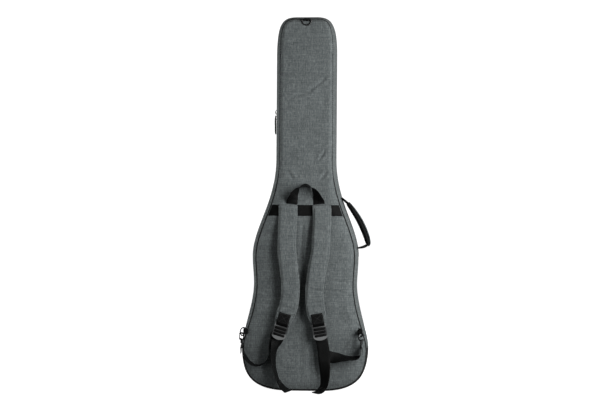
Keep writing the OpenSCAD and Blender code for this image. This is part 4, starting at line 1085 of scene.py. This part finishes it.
# Front pocket with its zip
POCKET_INSET, POCKET_T = 38, 14
POCKET_REACH, POCKET_POWER = 22, 2.4
POCKET_ZIP_Z, POCKET_ZIP_L, POCKET_TAPE_W = 424, 220, 16
pocket_edge = loop_inside(POCKET_INSET)
px, pz = spread(pocket_edge[I_FLAT:I_UPPER + 1], POCKET_COLUMNS)
edge_tree = search_tree(pocket_edge[np.r_[0:I_UPPER + 1, COUNT - I_UPPER:COUNT]])
inset = np.minimum(distance_to(edge_tree, px, pz), np.maximum(0, UPPER_Z - pz) + 0.5)
rise = 1 - (1 - np.clip(inset / POCKET_REACH, 0, 1)) ** POCKET_POWER
slack = smooth((inset - 6) / 30) * (0.9 * wobble(px, pz, 90, 70, 4.4) + 0.4 * wobble(px, pz, 30, 40, 8.8))
py = PANEL_Y - 1.0 + (POCKET_T + 1.0) * rise + slack
pocket = grid("pocket_cover", np.stack([px, py, pz], -1), uv=np.stack([px, pz], -1) * MM, flip=True)
dress(thicken(pocket, FABRIC_T), HEATHER, "lid", "heather", "body_pocket")
tape_y = PANEL_Y + CLEAR + POCKET_T + 0.4 + 0.6
tape_rows = [[[x, tape_y, POCKET_ZIP_Z], UP] for x in np.linspace(-POCKET_ZIP_L / 2, POCKET_ZIP_L / 2, 60)]
tape = ribbon("pocket_zip_cloth", tape_rows, webbing_section(POCKET_TAPE_W, TAPE_T))
dress(tape, TAPE, "lid", "zip", "body_pocket_zip")


# Soft pieces inside
def soften(node, name, voxel):
    """A rounded plush copy of a foam block."""
    made = new_object(name, CAD[node].data.copy())
    made.data.materials.clear()
    remesh(made, voxel)
    relax = made.modifiers.new("relax", "SMOOTH")
    relax.iterations, relax.factor = 6, 0.5
    apply_modifiers(made)
    made.data.shade_smooth()
    dress(made, LINING, "back_shell", "lining", node)


soften("neck_cradle", "cradle_pad", 3.0)
soften("end_pad", "end_pad_cover", 3.5)
NECK_STRAP_W, NECK_STRAP_T = 30, 2.0
low, high = (np.array(v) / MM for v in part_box("neck_strap"))
_, neck_y, neck_z = (low + high) / 2
neck_rows = [[[x, neck_y, neck_z], UP] for x in np.linspace(low[0], high[0], 40)]
strap("neck_strap_webbing", neck_rows, "neck_strap", "neck_strap", w=NECK_STRAP_W, t=NECK_STRAP_T)

# Rigid hardware keeps its CAD shape and gets a finish and eased edges
FINISHES = {
    METAL: [side + part for part in ("_ring", "_hook", "_gate", "_eye") for side in PADS]
    + ["upper_slider", "lower_slider", "body_pocket_slider"],
    BLACK_METAL: ["top_ring"],
    LOCK: ["left_lock", "right_lock"],
    RUBBER: ["upper_pull", "lower_pull", "body_pocket_pull"],
}
EASE, LOCK_EASE, EASED_ANGLE = 0.35, 0.9, radians(40)
for material, names in FINISHES.items():
    for name in names:
        CAD[name].data.materials.clear()
        CAD[name].data.materials.append(material)
        ease = CAD[name].modifiers.new("eased", "BEVEL")
        ease.width, ease.segments = (LOCK_EASE if material == LOCK else EASE) * MM, 3
        ease.limit_method, ease.angle_limit = "ANGLE", EASED_ANGLE

GRIP_W, GRIP_R, GRIP_OUT, GRIP_FROM_TOP = 5.2, 2.9, 1.6, 13


def pull_grip(name, body, out, across):
    """Moulded grip round the free end of a zip pull."""
    low, high = (np.array(v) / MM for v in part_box(name))
    x, y, _ = (low + high) / 2 + GRIP_OUT * out
    rows = [[[x, y, z], across] for z in np.linspace(high[2] - GRIP_FROM_TOP, low[2] - 1, 24)]
    swell = np.sin(np.linspace(0.2, pi - 0.2, len(rows))) ** 0.45
    sections = [soft_section(GRIP_W * k, -GRIP_R * k, GRIP_R * k, 20, 3.6) for k in swell]
    dress(ribbon(name + "_grip", rows, sections), RUBBER, body, "pull")


pull_grip("upper_pull", "upper_pull", -ACROSS, DEEP)
pull_grip("lower_pull", "lower_pull", -ACROSS, DEEP)
pull_grip("body_pocket_pull", "pocket_pull", DEEP, ACROSS)

# Stage, light and camera
TARGET = Vector((-18.5, -60, 640.8)) * MM
DISTANCE = 4.0
AZIMUTH = radians(2)
ROLL = radians(0.39)
PHOTO_PIXELS, PIXEL_MM = 600, 3.352

# Lights: place, aim, width, height, power and spread; only the key light shows in glossy surfaces
LIGHTS = {
    "key": [(1.12, -1.02, 0.84), (0, 0, 0.62), 0.95, 1.3, 30, 180],
    "fill": [(-0.9, -1.2, 0.2), (0, 0, 0.3), 0.4, 1.0, 2.8, 180],
    "side": [(-1.3, 0.06, 0.72), (-0.12, 0, 0.72), 0.3, 1.2, 0.9, 34],
    "front": [(0.2, 2.0, 1.0), (0, 0, 0.6), 1.2, 1.6, 16, 180],
}
for name, (place, aim, width, height, power, angle) in LIGHTS.items():
    light = bpy.data.lights.new(name, "AREA")
    light.shape, light.size, light.size_y = "RECTANGLE", width, height
    light.energy, light.spread = power, radians(angle)
    lamp = new_object(name, light)
    lamp.location = place
    lamp.rotation_euler = (Vector(aim) - Vector(place)).to_track_quat("-Z", "Y").to_euler()
    lamp.visible_camera, lamp.visible_glossy = False, name == "key"

FLOOR_HALF, FLOOR_Z = 14000, -1.8
FLOOR_GREYS = [(0.3, 0.55), (0.7, 0.6)]
floor_corners = [(a * FLOOR_HALF, b * FLOOR_HALF, FLOOR_Z) for a, b in ((-1, -1), (1, -1), (1, 1), (-1, 1))]
floor = mesh_object("floor", floor_corners, [(0, 1, 2, 3)])
m = shader("pale_floor")
far = m.add("VectorMath", {0: m.place()}, operation="LENGTH").outputs["Value"]
glow = m.add("MapRange", {"Value": far, "From Min": 0.2, "From Max": 1.6, "To Min": 0.97, "To Max": 1.02})
floor.data.materials.append(m.finish(
    m.ramp(m.noise(m.place(), 3, 3, 3), *FLOOR_GREYS), 0.8, Specular_IOR_Level=0.0,
    Emission_Color=(1, 1, 1, 1), Emission_Strength=glow.outputs["Result"]))
floor.visible_diffuse = floor.visible_glossy = False

# The white surround is seen by the camera, and lights the bag only a little
AMBIENT, SURROUND = 0.08, 1.15
world = bpy.data.worlds.new("studio")
bpy.context.scene.world = world
sky = Nodes(world, "Background")
seen = sky.add("LightPath").outputs["Is Camera Ray"]
sky.plug(sky.output, {"Color": (1, 1, 1, 1), "Strength": sky.span(seen, AMBIENT, SURROUND)})

camera_data = bpy.data.cameras.new("camera")
camera_data.lens = camera_data.sensor_width * DISTANCE / (PHOTO_PIXELS * PIXEL_MM * MM)
camera = new_object("camera", camera_data)
camera.location = TARGET + DISTANCE * Vector((sin(AZIMUTH), -cos(AZIMUTH), 0))
camera.rotation_euler = ((TARGET - camera.location).to_track_quat("-Z", "Y") @ Quaternion((0, 0, 1), ROLL)).to_euler()
bpy.context.scene.camera = camera
bpy.context.scene.view_settings.view_transform = "Standard"
